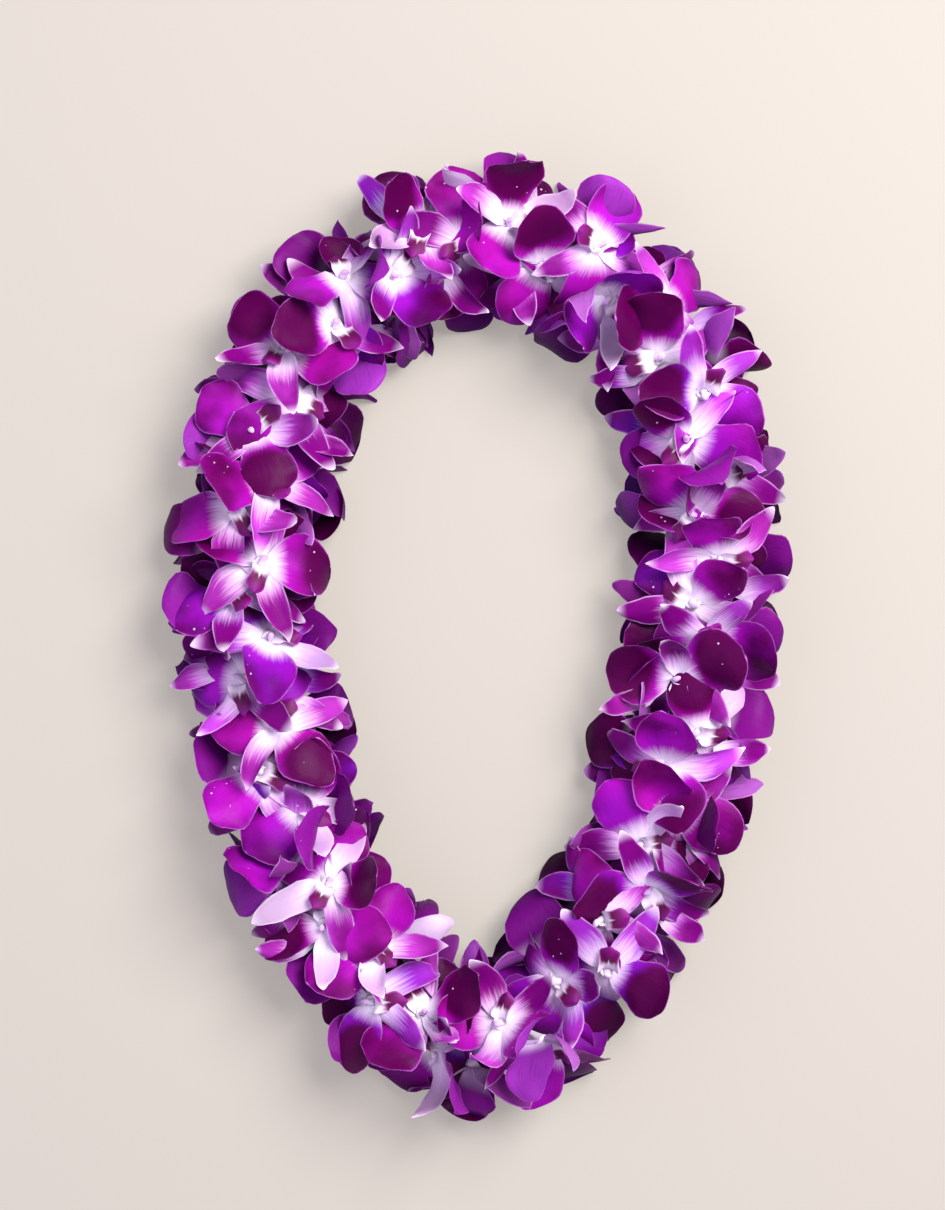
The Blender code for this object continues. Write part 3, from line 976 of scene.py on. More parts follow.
@dataclass(frozen=True)
class BladeFinish:
    """A petal: white at its base, deep towards its end, with a fine pale rim, and darkened low in the band
    by painted shade. A sepal's is a variant.
    """

    name: str = "orchid_petal"
    bright: Colour = (0.41, 0.006, 0.49)
    deep: Colour = (0.078, 0.0003, 0.056)
    violet: Colour = (0.17, 0.004, 0.46)
    wine: Colour = (0.33, 0.003, 0.26)
    rim: Colour = (0.64, 0.20, 0.74)
    back: Colour = (0.20, 0.006, 0.24)
    pale_back: Colour = (0.29, 0.03, 0.40)
    deep_from: float = 0.20  # along the petal, where the deep colour starts to show
    deep_to: float = 0.75
    dark_share: float = 0.90
    white_from: float = 0.10  # along the petal, where the white starts to fade
    white_to: float = 0.42
    streaks: float = 0.16
    tip_from: float = 1.04  # past 1, no white tip shows
    rim_width: float = 0.0007
    rim_strength: float = 0.9
    white: Colour = (0.90, 0.77, 0.99)
    low_from: float = 0.006  # painted shade: the heights between which the petals darken, as the light hardly gets there
    low_to: float = 0.036
    low_shade_tint: Colour = (0.26, 0.03, 0.32)
    shaded_white_loss: float = 0.8  # painted shade: how much of its white a low petal loses
    roughness: float = 0.42
    vein_spacing: float = 11.0
    mottle_scale: float = 110.0
    mottling: float = 0.45
    cloud_scale: float = 42.0
    clouding: float = 1.1
    hue_scale: float = 31.0
    hue_drift: float = 1.6
    grain_scale: float = 1500.0

    def readings(self, graph: ShaderGraph) -> BladeReadings:
        """What the finish reads, and the patterns that it makes of that.

        Args:
            graph: the material's tree.

        Returns:
            The readings.
        """
        along, across, tone = (graph.reading(name) for name in ("along", "across", "tone"))
        drift = graph.noise(graph.place(), self.hue_scale, 1.0) - 0.5
        fan = graph.vector(across * self.vein_spacing, along * 1.6, tone * 40.0)
        return BladeReadings(
            along=along,
            edge=across * across,
            tone=tone,
            hue=graph.reading("hue") + drift * self.hue_drift,
            pale=graph.reading("pale"),
            low=1.0 - graph.parts(graph.place())[2].rises(self.low_from, self.low_to),
            mottle=graph.noise(graph.place(), self.mottle_scale, 3.0),
            cloud=graph.noise(graph.place(), self.cloud_scale, 1.0),
            veins=graph.noise(fan, 1.6, 2.0),
        )

    def depth(self, at: BladeReadings) -> Value:
        """How deep the colour is: deeper to the tip, in the middle of dark petals, and in patches.

        Args:
            at: what the finish reads.

        Returns:
            The depth, from 0.
        """
        depth = at.along.rises(self.deep_from, self.deep_to) * (0.25 + at.tone * 0.75)
        dark = at.tone.rises(0.40, 0.75) * at.along.rises(0.12, 0.42) * (1.0 - at.edge)
        patches = (at.mottle - 0.5) * self.mottling + (at.cloud - 0.5) * self.clouding
        return depth + dark * self.dark_share + (1.0 - at.tone) * at.edge * 0.35 + patches

    def front(self, graph: ShaderGraph, at: BladeReadings) -> Socket:
        """The colour of the front.

        Args:
            graph: the material's tree.
            at: what the finish reads.

        Returns:
            The colour.
        """
        depth = self.depth(at)
        colour = graph.blend(depth.rises(0.0, 1.0), self.bright, self.deep)
        for share, bright in ((at.hue.over(0.0), self.violet), ((at.hue * -1.0).over(0.0), self.wine)):
            colour = graph.blend(share, colour, graph.blend(depth.rises(0.1, 1.1), bright, self.deep))
        colour = graph.blend(at.veins.rises(0.50, 0.75) * 0.10, colour, self.deep)
        rim = 1.0 - graph.reading("rim").rises(self.rim_width * 0.25, self.rim_width)
        colour = graph.blend(rim * at.mottle.rises(0.30, 0.60) * self.rim_strength, colour, self.rim)
        reach = at.along * (1.0 + at.tone * 0.5) + (at.veins - 0.5) * self.streaks + at.edge * 0.06
        # painted shade: low petals lose their white
        white = (1.0 - reach.rises(self.white_from, self.white_to)) * (1.0 - at.low * self.shaded_white_loss)
        tip = at.along.rises(self.tip_from, 1.05)
        colour = graph.blend(white.over(tip * 0.9), colour, self.white)
        return graph.blend(at.pale * (1.0 - at.along * 0.5), colour, self.white)

    def behind(self, graph: ShaderGraph, at: BladeReadings) -> Socket:
        """The colour of the back.

        Args:
            graph: the material's tree.
            at: what the finish reads.

        Returns:
            The colour.
        """
        colour = graph.blend(at.tone.rises(0.10, 0.35), self.pale_back, self.back)
        colour = graph.blend(at.tone.rises(0.50, 1.00), colour, self.deep)
        colour = graph.blend(at.veins.rises(0.50, 0.74) * 0.25, colour, self.deep)
        # painted shade: low petals lose the white at the base of their backs
        past_base = at.along.rises(0.06, 0.38).over(at.low * self.shaded_white_loss)
        return graph.blend(past_base * (1.0 - at.pale), self.white, colour)

    def material(self) -> bpy.types.Material:
        """The finish as a material.

        Returns:
            The material.
        """
        graph = ShaderGraph.named(self.name)
        at = self.readings(graph)
        colour = graph.blend(graph.reading("behind"), self.front(graph, at), self.behind(graph, at))
        # painted shade: the colour is darkened low in the band
        colour = graph.blend(at.low, colour, self.low_shade_tint, "MULTIPLY")
        grain = graph.noise(graph.place(), self.grain_scale, 1.0)
        return graph.finished(
            {
                "Base Color": colour,
                "Roughness": self.roughness + (at.mottle - 0.5) * 0.2,
                "Normal": graph.bump(at.veins * 0.5 + grain * 0.2 + at.mottle * 2.0, 0.5, 0.0005),
                "Specular IOR Level": 0.06,
                "Subsurface Weight": 0.10,
                "Subsurface Radius": (1.0, 0.2, 1.0),
                "Subsurface Scale": 0.0015,
            }
        )


@dataclass(frozen=True)
class LipFinish:
    """The lip: nearly black maroon, with a white wedge that runs out of the throat."""

    name: str = "orchid_lip"
    maroon: Colour = (0.110, 0.001, 0.065)
    edge: Colour = (0.24, 0.006, 0.24)
    white: Colour = (0.90, 0.78, 0.96)
    vein_spacing: float = 9.0
    edge_from: float = 0.0002  # from the margin, where the edge's colour starts to fade
    edge_to: float = 0.0012
    wedge_end: float = 0.55
    wedge_width: float = 0.75
    wedge_fade: float = 0.15
    throat_from: float = 0.30
    throat_to: float = 0.52

    def material(self) -> bpy.types.Material:
        """The finish as a material.

        Returns:
            The material.
        """
        graph = ShaderGraph.named(self.name)
        along, across = graph.reading("along"), graph.reading("across")
        fan = graph.vector(across * self.vein_spacing, along * 2.0, graph.reading("tone") * 30.0)
        veins = graph.noise(fan, 1.8, 2.0)
        colour = graph.blend(along.rises(0.55, 1.0) * 0.7, self.maroon, self.edge)
        rim = graph.reading("rim").rises(self.edge_from, self.edge_to)
        colour = graph.blend(1.0 - rim, colour, self.edge)
        wedge_side = (1.0 - along * (1.0 / self.wedge_end)) * self.wedge_width + (veins - 0.5) * 0.08
        wedge = (wedge_side - across.size()).rises(-self.wedge_fade, self.wedge_fade)
        throat = 1.0 - (along + (veins - 0.5) * 0.12).rises(self.throat_from, self.throat_to)
        colour = graph.blend(wedge.over(throat), colour, self.white)
        behind = graph.blend(along.rises(0.2, 0.9), self.white, self.edge)
        colour = graph.blend(graph.reading("behind"), colour, behind)
        return graph.finished(
            {
                "Base Color": colour,
                "Roughness": 0.5 + (veins - 0.5) * 0.2,
                "Normal": graph.bump(veins, 0.4, 0.0004),
                "Specular IOR Level": 0.22,
            }
        )


@dataclass(frozen=True)
class FleshFinish:
    """The fleshy pale parts: the column, or the spur and its stalk."""

    name: str
    light: Colour
    tint: Colour
    tint_from: float
    mottle_scale: float = 260.0
    roughness: float = 0.38

    def material(self) -> bpy.types.Material:
        """The finish as a material.

        Returns:
            The material.
        """
        graph = ShaderGraph.named(self.name)
        along = graph.reading("along")
        mottle = graph.noise(graph.place(), self.mottle_scale, 2.0)
        share = (along + (mottle - 0.5) * 0.3).rises(self.tint_from, 1.0)
        return graph.finished(
            {
                "Base Color": graph.blend(share, self.light, self.tint),
                "Roughness": self.roughness + (mottle - 0.5) * 0.2,
                "Normal": graph.bump(mottle, 0.2, 0.0003),
                "Subsurface Weight": 0.15,
                "Subsurface Radius": (1.0, 0.7, 1.0),
                "Subsurface Scale": 0.002,
            }
        )


WATER_IOR = 1.33


@dataclass(frozen=True)
class DewFinish:
    """Small drops of water on the petals."""

    name: str = "dew"
    tinted: Colour = (0.72, 0.46, 0.78)  # as the petal under the drop
    bright: Colour = (0.90, 0.80, 0.94)
    mottle_scale: float = 900.0
    roughness: float = 0.06
    clearness: float = 0.28

    def material(self) -> bpy.types.Material:
        """The finish as a material.

        Returns:
            The material.
        """
        graph = ShaderGraph.named(self.name)
        mottle = graph.noise(graph.place(), self.mottle_scale, 1.0)
        return graph.finished(
            {
                "Base Color": graph.blend(mottle, self.tinted, self.bright),
                "Roughness": self.roughness + mottle * 0.05,
                "IOR": WATER_IOR,
                "Alpha": 1.0 - self.clearness,
            }
        )


@dataclass(frozen=True)
class CottonFinish:
    """White cotton string: fibres that follow the strands, and painted shade in the grooves between them.
    """

    name: str = "cotton_string"
    light: Colour = (0.80, 0.78, 0.72)
    shade: Colour = (0.52, 0.49, 0.43)
    fibre_scale: float = 2600.0
    roughness: float = 0.85

    def material(self) -> bpy.types.Material:
        """The finish as a material.

        Returns:
            The material.
        """
        graph = ShaderGraph.named(self.name)
        fibres = graph.noise(graph.place(), self.fibre_scale, 3.0)
        groove = graph.reading("groove")
        # painted shade: darker in the grooves between the strands, on top of the random fibres
        share = (fibres - 0.5) * 0.8 + groove
        return graph.finished(
            {
                "Base Color": graph.blend(share.rises(0.0, 1.1), self.light, self.shade),
                "Roughness": self.roughness + (fibres - 0.5) * 0.2,
                "Normal": graph.bump(fibres, 0.5, 0.0002),
                "Sheen Weight": 0.3,
            }
        )


@dataclass(frozen=True)
class FloorFinish:
    """The plain pale surface under the lei."""

    name: str = "pale_floor"
    colour: Colour = (0.297, 0.279, 0.252)
    glow: float = 1.0  # as of thin cloth that the light comes through

    def material(self) -> bpy.types.Material:
        """The finish as a material.

        Returns:
            The material.
        """
        graph = ShaderGraph.named(self.name)
        return graph.finished(
            {
                "Base Color": (*self.colour, 1.0),
                "Emission Color": (*self.colour, 1.0),
                "Emission Strength": self.glow,
                "Roughness": 0.9,
                "Specular IOR Level": 0.1,
            }
        )


# ---- The shapes that a bloom is grown from ----


@dataclass
class ShapeMesh:
    """A closed mesh under construction, with what its finish reads at each point."""

    points: list[Place] = field(default_factory=list)
    faces: list[tuple[int, ...]] = field(default_factory=list)
    along: list[float] = field(default_factory=list)
    across: list[float] = field(default_factory=list)
    rim: list[float] = field(default_factory=list)
    behind: list[float] = field(default_factory=list)

    def point(self, place: Sequence[float], along: float, across: float = 0.0, rim: float = 1.0) -> int:
        """Adds a point.

        Args:
            place: where it is.
            along: its share of the length.
            across: its share of half the width, from -1 to 1.
            rim: its distance from the outline, in metres.

        Returns:
            Its number.
        """
        self.points.append(tuple(place))
        self.along.append(along)
        self.across.append(across)
        self.rim.append(rim)
        return len(self.points) - 1

    def face(self, corners: Sequence[int], behind: bool = False) -> None:
        """Adds a face, the same corner twice in a row counted once.

        Args:
            corners: the numbers of its points.
            behind: whether it is on the back.
        """
        kept = [corner for i, corner in enumerate(corners) if corner != corners[i - 1]]
        self.faces.append(tuple(kept))
        self.behind.append(float(behind))

    def tube(self, rings: list[list[int]], first: int, last: int) -> None:
        """Closes rings of points into a body.

        Args:
            rings: the rings, in order along +X, each counter-clockwise seen from its end.
            first: the point that closes the start.
            last: the point that closes the end.
        """
        sides = len(rings[0])
        for side in range(sides):
            self.face((first, rings[0][side], rings[0][side - 1]))
            self.face((last, rings[-1][side - 1], rings[-1][side]))
        for ring, following in itertools.pairwise(rings):
            for side in range(sides):
                self.face((ring[side - 1], ring[side], following[side], following[side - 1]))

    def sharp_margin(self, mesh: bpy.types.Mesh) -> None:
        """Keeps the front's shading apart from the back's, where the two meet at the margin.

        Args:
            mesh: the finished mesh.
        """
        sides: dict[tuple[int, int], set[float]] = {}
        for polygon, behind in zip(mesh.polygons, self.behind):
            for pair in polygon.edge_keys:
                sides.setdefault(pair, set()).add(behind)
        sharp = [len(sides[edge.key]) > 1 for edge in mesh.edges]
        store(mesh, "sharp_edge", "BOOLEAN", "EDGE", sharp)

    def made(self, name: str, kind: Kind, collection: bpy.types.Collection) -> bpy.types.Object:
        """The mesh as an object.

        Args:
            name: the object's name.
            kind: what it is.
            collection: where it goes.

        Returns:
            The new object.
        """
        mesh = bpy.data.meshes.new(name)
        mesh.from_pydata(self.points, [], self.faces)
        for label in ("along", "across", "rim"):
            store(mesh, label, "FLOAT", "POINT", getattr(self, label))
        store(mesh, "behind", "FLOAT", "FACE", self.behind)
        store(mesh, "kind", "FLOAT", "FACE", [float(kind.value)] * len(self.faces))
        mesh.polygons.foreach_set("use_smooth", [True] * len(self.faces))
        self.sharp_margin(mesh)
        obj = bpy.data.objects.new(name, mesh)
        collection.objects.link(obj)
        return obj


@dataclass(frozen=True)
class Blade:
    """A petal, a sepal or a lip, drawn along +X with its front up. Lengths are in metres."""

    kind: Kind
    length: float
    width: float
    claw: float = 0.0022  # half the width at the base
    peak: float = 1.25  # how far along it is broadest
    fullness: float = 0.62  # how blunt its ends are
    cup: float = 8.0  # how much its sides rise, for each square metre
    wave: float = 0.0006  # the height of the waves in its margin
    waves: float = 1.5
    phase: float = 0.0
    lobed: float = 0.05  # how uneven its outline is
    lobes: float = 1.5
    skew: float = 0.0  # how far it bows to one side
    roll: float = 0.0  # how far one margin rolls over
    keel: float = 0.0004  # the depth of the groove along its middle
    keel_width: float = 0.0016
    thickness: float = 0.0006
    rows: int = 14
    columns: int = 10
    end_crowding: float = 2.1  # how much closer the rows lie at the tip
    side_crowding: float = 0.22  # how much closer the columns lie at the margins

    def half_width(self, along: float) -> float:
        """Half the width at a share of the length.

        Args:
            along: the share of the length.

        Returns:
            Half the width in metres.
        """
        belly = math.sin(math.pi * along**self.peak) ** self.fullness if 0 < along < 1 else 0.0
        belly *= 1 + self.lobed * math.sin(2 * math.pi * self.lobes * along + self.phase)
        return self.claw * (1 - along) ** 2 + self.width / 2 * belly

    def height(self, along: float, side: float, across: float) -> float:
        """How high the middle surface stands.

        Args:
            along: the share of the length.
            side: the distance from the middle line.
            across: the share of half the width.

        Returns:
            The height in metres.
        """
        wave = self.wave * math.sin(2 * math.pi * self.waves * along + self.phase + across) * across**2
        rolled = self.roll * max(0.0, across) ** 3 * math.sin(math.pi * along)
        groove = self.keel * math.exp(-((side / self.keel_width) ** 2)) * (1 - along)
        return self.cup * side**2 + wave + rolled - groove

    def mesh(self) -> ShapeMesh:
        """The blade as a closed thin body, thinning to nothing at its margin.

        Returns:
            The body.
        """
        made = ShapeMesh()
        layers: list[list[list[int]]] = [[], []]
        for row in range(self.rows + 1):
            along = 1 - (1 - row / self.rows) ** self.end_crowding
            half = self.half_width(along)
            fronts, backs = [], []
            for column in range(self.columns + 1):
                if row == self.rows and column:
                    fronts.append(fronts[0])
                    backs.append(backs[0])
                    continue
                spread = 2 * column / self.columns - 1
                across = spread * (1 + self.side_crowding - self.side_crowding * spread**2)
                side = across * half + self.skew * math.sin(math.pi * along)
                height = self.height(along, side, across)
                at_margin = row in (0, self.rows) or column in (0, self.columns)
                body = 0.0 if at_margin else self.thickness / 2 * (1 - across**4)
                level = (along * self.length, side)
                told = (along, across, min((1 - abs(across)) * half, (1 - along) * self.length))
                fronts.append(made.point((*level, height + body), *told))
                backs.append(fronts[-1] if at_margin else made.point((*level, height - body), *told))
            layers[0].append(fronts)
            layers[1].append(backs)
        for row, column in itertools.product(range(self.rows), range(self.columns)):
            corners = ((row, column), (row + 1, column), (row + 1, column + 1), (row, column + 1))
            front, back = ([layer[down][over] for down, over in corners] for layer in layers)
            made.face(front)
            made.face(back[::-1], behind=True)
        return made


@dataclass(frozen=True)
class LipBlade(Blade):
    """The lip: two side lobes that stand up round the column, a waist, and a broad front lobe."""

    side_at: float = 0.30
    side_spread: float = 0.24
    front_at: float = 0.75
    front_spread: float = 0.26
    side_lift: float = 0.0045
    side_share: float = 0.60  # of the front lobe's width
    lift_spread: float = 0.22
    droop: float = 0.0028
    crest: float = 0.0009  # the height of the ridge along its middle
    crest_width: float = 0.0013
    crest_reach: float = 1.4

    def half_width(self, along: float) -> float:
        """Half the width at a share of the length.

        Args:
            along: the share of the length.

        Returns:
            Half the width in metres.
        """
        side = self.side_share * math.exp(-(((along - self.side_at) / self.side_spread) ** 2))
        front = math.exp(-(((along - self.front_at) / self.front_spread) ** 2))
        closing = math.sqrt(max(0.0, 1 - along**4))
        return (self.claw * (1 - along) ** 2 + self.width / 2 * (side + front)) * closing

    def height(self, along: float, side: float, across: float) -> float:
        """How high the middle surface stands: the side lobes rise, and the front lobe droops.

        Args:
            along: the share of the length.
            side: the distance from the middle line.
            across: the share of half the width.

        Returns:
            The height in metres.
        """
        at_sides = math.exp(-(((along - self.side_at) / self.lift_spread) ** 2))
        at_front = math.exp(-(((along - self.front_at) / self.lift_spread) ** 2))
        crest = self.crest * math.exp(-((side / self.crest_width) ** 2))
        crest *= math.sin(math.pi * min(1.0, along * self.crest_reach))
        wave = self.wave * math.sin(2 * math.pi * self.waves * along + self.phase) * across**2
        return self.side_lift * across**2 * at_sides - self.droop * across**2 * at_front + crest + wave


@dataclass(frozen=True)
class Stem:
    """A round tapering body along +X: a spur with its throat, a stalk or a column."""

    kind: Kind
    length: float
    radii: tuple[tuple[float, float], ...]
    hollow: float = 0.0  # how far its start is sunk
    flatness: float = 1.0  # of its underside
    sides: int = 10

    def mesh(self) -> ShapeMesh:
        """The stem as a closed body.

        Returns:
            The body.
        """
        made = ShapeMesh()
        rings = []
        for share, radius in self.radii:
            ring = []
            for side in range(self.sides):
                angle = 2 * math.pi * side / self.sides
                height = radius * math.sin(angle) * (self.flatness if math.sin(angle) < 0 else 1.0)
                ring.append(made.point((share * self.length, radius * math.cos(angle), height), share))
            rings.append(ring)
        first = made.point((self.hollow * self.length, 0.0, 0.0), 0.0)
        last = made.point((self.length, 0.0, 0.0), 1.0)
        made.tube(rings, first, last)
        return made


@dataclass(frozen=True)
class ShapeShelf:
    """The shapes that blooms are grown from, several of each kind, in the order of their numbers."""

    collection: bpy.types.Collection
    shapes: tuple[tuple[Kind, ShapeMesh], ...]

    @classmethod
    def stocked(cls, shapes: Sequence[Blade | Stem]) -> "ShapeShelf":
        """Makes every shape in a collection of its own.

        Args:
            shapes: the shapes, in the order of their numbers.

        Returns:
            The shelf.
        """
        collection = bpy.data.collections.new("bloom_shapes")
        bpy.context.scene.collection.children.link(collection)
        meshes = tuple((shape.kind, shape.mesh()) for shape in shapes)
        for number, (kind, mesh) in enumerate(meshes):
            mesh.made(f"shape_{number:02d}_{kind.name.lower()}", kind, collection)
        return cls(collection, meshes)

    def numbers(self, kind: Kind) -> list[int]:
        """The numbers of the shapes of that kind."""
        return [number for number, (other, _) in enumerate(self.shapes) if other is kind]

    def cleared(self) -> None:
        """Removes the shapes' own objects once all is grown."""
        for obj in list(self.collection.objects):
            bpy.data.objects.remove(obj)
        bpy.data.collections.remove(self.collection)


PETAL_LENGTH = 0.0365
SEPAL_LENGTH = 0.0370
LIP_LENGTH = 0.0165
SHOWN_COLUMN_LENGTH = 0.0066
# A stem's radii are pairs of a share of its length and a radius.
COLUMN_RADII = (
    (0.0, 0.0022), (0.25, 0.0018), (0.55, 0.0016), (0.72, 0.0020), (0.88, 0.0017), (0.97, 0.0009),
)  # fmt: skip
SPUR_RADII = (
    (0.0, 0.0044), (0.10, 0.0038), (0.26, 0.0030), (0.48, 0.0022), (0.75, 0.0015), (0.98, 0.0011),
)  # fmt: skip
STALK_RADII = ((0.0, 0.0010), (0.30, 0.0011), (0.70, 0.0014), (0.92, 0.0017), (1.0, 0.0012))


def bloom_shapes() -> tuple[Blade | Stem, ...]:
    """Every shape that a bloom can have."""
    petal = Blade(Kind.PETAL, PETAL_LENGTH, 0.0295, fullness=0.54, wave=0.0008)
    sepal = Blade(
        Kind.SEPAL, SEPAL_LENGTH, 0.0140, peak=1.0, fullness=0.66, cup=22.0, columns=6, rows=12
    )
    lip = LipBlade(Kind.LIP, LIP_LENGTH, 0.0115, claw=0.0028, thickness=0.0008, rows=16)
    return (
        petal,
        replace(petal, width=0.0310, peak=1.15, cup=-14.0, phase=2.0, wave=0.0012, skew=0.0015),
        replace(petal, width=0.0290, fullness=0.60, cup=18.0, phase=4.0, roll=0.0040, skew=-0.0015),
        replace(petal, width=0.0305, peak=1.40, fullness=0.56, cup=-9.0, phase=1.0, wave=0.0014, waves=2.2),
        replace(petal, width=0.0300, fullness=0.50, cup=5.0, phase=5.0, roll=-0.0060, skew=0.0020),
        replace(petal, width=0.0280, peak=1.05, fullness=0.62, cup=-20.0, phase=3.0, skew=-0.0010),
        sepal,
        replace(sepal, width=0.0125, cup=-30.0, phase=2.0, wave=0.0010, skew=0.0020),
        replace(sepal, width=0.0150, peak=1.10, fullness=0.62, cup=10.0, phase=4.0, skew=-0.0015),
        replace(
            sepal, width=0.0135, peak=0.90, fullness=0.80, cup=42.0, phase=1.0, roll=0.0025, skew=-0.0025
        ),
        lip,
        replace(lip, width=0.0128, phase=2.0, wave=0.0010, side_lift=0.0030),
        Stem(Kind.COLUMN, SHOWN_COLUMN_LENGTH, COLUMN_RADII, flatness=0.5),
        Stem(Kind.STALK, 1.0, SPUR_RADII, hollow=0.10),
        Stem(Kind.STALK, 1.0, STALK_RADII, sides=8),
    )


# ---- The sub-assemblies ----


@dataclass(frozen=True, eq=False)
class Growth:
    """One shape put in its place on a bloom: how it is turned, stretched, bent, twisted and coloured."""

    shape: int
    pivot: np.ndarray
    axes: np.ndarray  # one row each: outwards, sideways, front
    size: Place = (1.0, 1.0, 1.0)  # along the three axes
    bend: float = 0.0
    twist: float = 0.0
    tone: float = 0.5
    hue: float = 0.0
    pale: float = 0.0

    def turn(self) -> Place:
        """Its turn, as angles about the three axes."""
        return tuple(Matrix(self.axes.T.tolist()).to_euler())


# Degrees that each kind of lobe bends to the bloom's face on the way to its tip, or under 0 away from it.
DROOPS: dict[Kind, Span] = {Kind.PETAL: (-30, 26), Kind.SEPAL: (-46, 20), Kind.LIP: (-50, -10)}


@dataclass(frozen=True)
class BloomDresser:
    """Turns the planner's plain blooms into grown shapes, with the small differences of real ones, and
    painted cool light that makes the blooms facing one side bluer.
    """

    shelf: ShapeShelf
    swing_kept: float = 0.55  # of the plain lobe's swing at its base; the rest becomes a bend
    start: float = 0.0012  # from the hub's middle to where a lobe starts
    size_jitter: float = 0.09
    broadening: Span = (-0.05, 0.03)
    relief: Span = (0.7, 1.2)  # how much of the drawn shape's cup and waves a lobe has
    twist: Span = (-24.0, 24.0)
    closing: Span = (-12.0, 12.0)  # degrees that an open bloom's lobes lean to its face
    half_closed: Span = (28.0, 58.0)
    half_closed_share: float = 0.22
    lip_closing: float = 0.25  # of what the bloom's other lobes close
    added_lip_swing: float = 20.0  # of a low bloom's lip, which its solid leaves out
    pale: Span = (0.4, 0.8)
    pale_share: float = 0.12  # of the sepals
    cool_lit_side: Place = (-0.8, 0.0, -0.6)  # painted light: blooms that face this way are made bluer, as if lit by cool light from that side
    # painted light: how much bluer the blooms facing that side are made
    cool_light_most: float = 0.75
    hues: Span = (-0.55, 0.55)  # from wine red, through purple, to violet
    column_lean: float = 0.45

    def lobe(
        self, bloom: Bloom, lobe: Lobe, swing: float, closing: float, hue: float, draw: random.Random
    ) -> Growth:
        """A petal, a sepal or a lip.

        Args:
            bloom: the bloom that it is on.
            lobe: the plain lobe.
            swing: the plain lobe's swing.
            closing: how far the bloom has closed, in degrees.
            hue: how violet the bloom is.
            draw: the random draws.

        Returns:
            The grown shape.
        """
        kept = swing * self.swing_kept
        _, outwards, sideways, normal = lobe_frame(lobe, kept)
        flat = unit(np.array((outwards[0], outwards[1], 0.0)))
        if lobe.kind is Kind.LIP:
            closing *= self.lip_closing
        swell = 1 + draw.uniform(-self.size_jitter, self.size_jitter)
        return Growth(
            shape=draw.choice(self.shelf.numbers(lobe.kind)),
            pivot=bloom.world(flat * self.start),
            axes=np.array((outwards, sideways, normal)) @ bloom.axes,
            size=(swell, swell * (1 + draw.uniform(*self.broadening)), draw.uniform(*self.relief)),
            bend=math.radians(swing - kept + draw.uniform(*DROOPS[lobe.kind]) + closing),
            twist=math.radians(draw.uniform(*self.twist)),
            tone=draw.random(),
            hue=hue,
            pale=self.paleness(lobe.kind, draw),
        )

    def paleness(self, kind: Kind, draw: random.Random) -> float:
        """How near to white a lobe is, which only some sepals are."""
        is_pale = kind is Kind.SEPAL and draw.random() < self.pale_share
        return draw.uniform(*self.pale) if is_pale else 0.0

    def column(self, bloom: Bloom, hue: float) -> Growth:
        """The column, leaning a little towards the dorsal sepal.

        Args:
            bloom: the bloom that it is on.
            hue: how violet the bloom is.

        Returns:
            The grown shape.
        """
        right, dorsal, face = bloom.axes
        outwards = unit(face + self.column_lean * dorsal)
        shape = self.shelf.numbers(Kind.COLUMN)[0]
        return Growth(shape, bloom.hub, squared_axes(outwards, -right), hue=hue)

    def spur(self, bloom: Bloom, hue: float) -> Growth:
        """The throat and the spur behind it, down to the string.

        Args:
            bloom: the bloom that it is on.
            hue: how violet the bloom is.

        Returns:
            The grown shape.
        """
        reach = bloom.root - bloom.hub
        outwards = unit(reach)
        axes = squared_axes(outwards, unit(np.cross(bloom.axes[1], outwards)))
        shape = self.shelf.numbers(Kind.STALK)[0]
        return Growth(shape, bloom.hub, axes, size=(float(np.linalg.norm(reach)), 1.0, 1.0), hue=hue)

    def dressed(self, bloom: Bloom, draw: random.Random) -> list[Growth]:
        """All the shapes of one bloom.

        Args:
            bloom: where it sits.
            draw: the random draws.

        Returns:
            The grown shapes.
        """
        # painted light: the more a bloom faces the cool-lit side, the more violet its hue, on top of its
        # random hue
        facing = max(0.0, float(bloom.axes[2] @ unit(np.array(self.cool_lit_side))))
        hue = min(1.0, self.cool_light_most * facing + draw.uniform(*self.hues))
        is_half_closed = draw.random() < self.half_closed_share
        closing = draw.uniform(*(self.half_closed if is_half_closed else self.closing))
        lobes = list(zip(bloom.lobes, bloom.swings))
        if bloom.lobes is LOWER_LOBES:
            lobes += [(lobe, self.added_lip_swing) for lobe in UPPER_LOBES if lobe.kind is Kind.LIP]
        grown = [self.lobe(bloom, lobe, swing, closing, hue, draw) for lobe, swing in lobes]
        return grown + [self.column(bloom, hue), self.spur(bloom, hue)]


@dataclass(frozen=True)
class BloomBunch:
    """One bunch of six blooms, which stands for one node of the solids."""

    number: int
    blooms: tuple[Bloom, ...]
    growths: tuple[Growth, ...]
    shift: np.ndarray

    @property
    def node(self) -> str:
        """The name of the solid that this bunch stands for."""
        return f"orchid_blooms_{self.number:02d}"

    def seeds(self) -> bpy.types.Object:
        """A mesh of loose points, one for each shape, with what the growth tree reads.

        Returns:
            The mesh as an object.
        """
        places = [growth.pivot + self.shift for growth in self.growths]
        mesh = bpy.data.meshes.new("seeds")
        mesh.from_pydata([tuple(place) for place in places], [], [])
        store(mesh, "shape", "INT", "POINT", [growth.shape for growth in self.growths])
        for label in ("bend", "twist", "tone", "hue", "pale"):
            store(mesh, label, "FLOAT", "POINT", [getattr(growth, label) for growth in self.growths])
        vectors = {
            "turn": [growth.turn() for growth in self.growths],
            "size": [growth.size for growth in self.growths],
            "pivot": places,
            "stem": [growth.axes[0] for growth in self.growths],
            "hinge": [growth.axes[1] for growth in self.growths],
        }
        for label, values in vectors.items():
            store(mesh, label, "FLOAT_VECTOR", "POINT", np.array(values, np.float32).ravel())
        return placed("seeds", mesh)

    def dress(self, tree: GrowthGraph, inputs: dict[str, Any]) -> bpy.types.Object:
        """Grows the bunch and puts it in the solid's place.

        Args:
            tree: the growth tree.
            inputs: the values of its inputs.

        Returns:
            The finished piece.
        """
        piece = tree.grown(self.seeds(), f"{self.node}_petals", inputs)
        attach(piece, "root")
        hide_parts(self.node)
        return piece


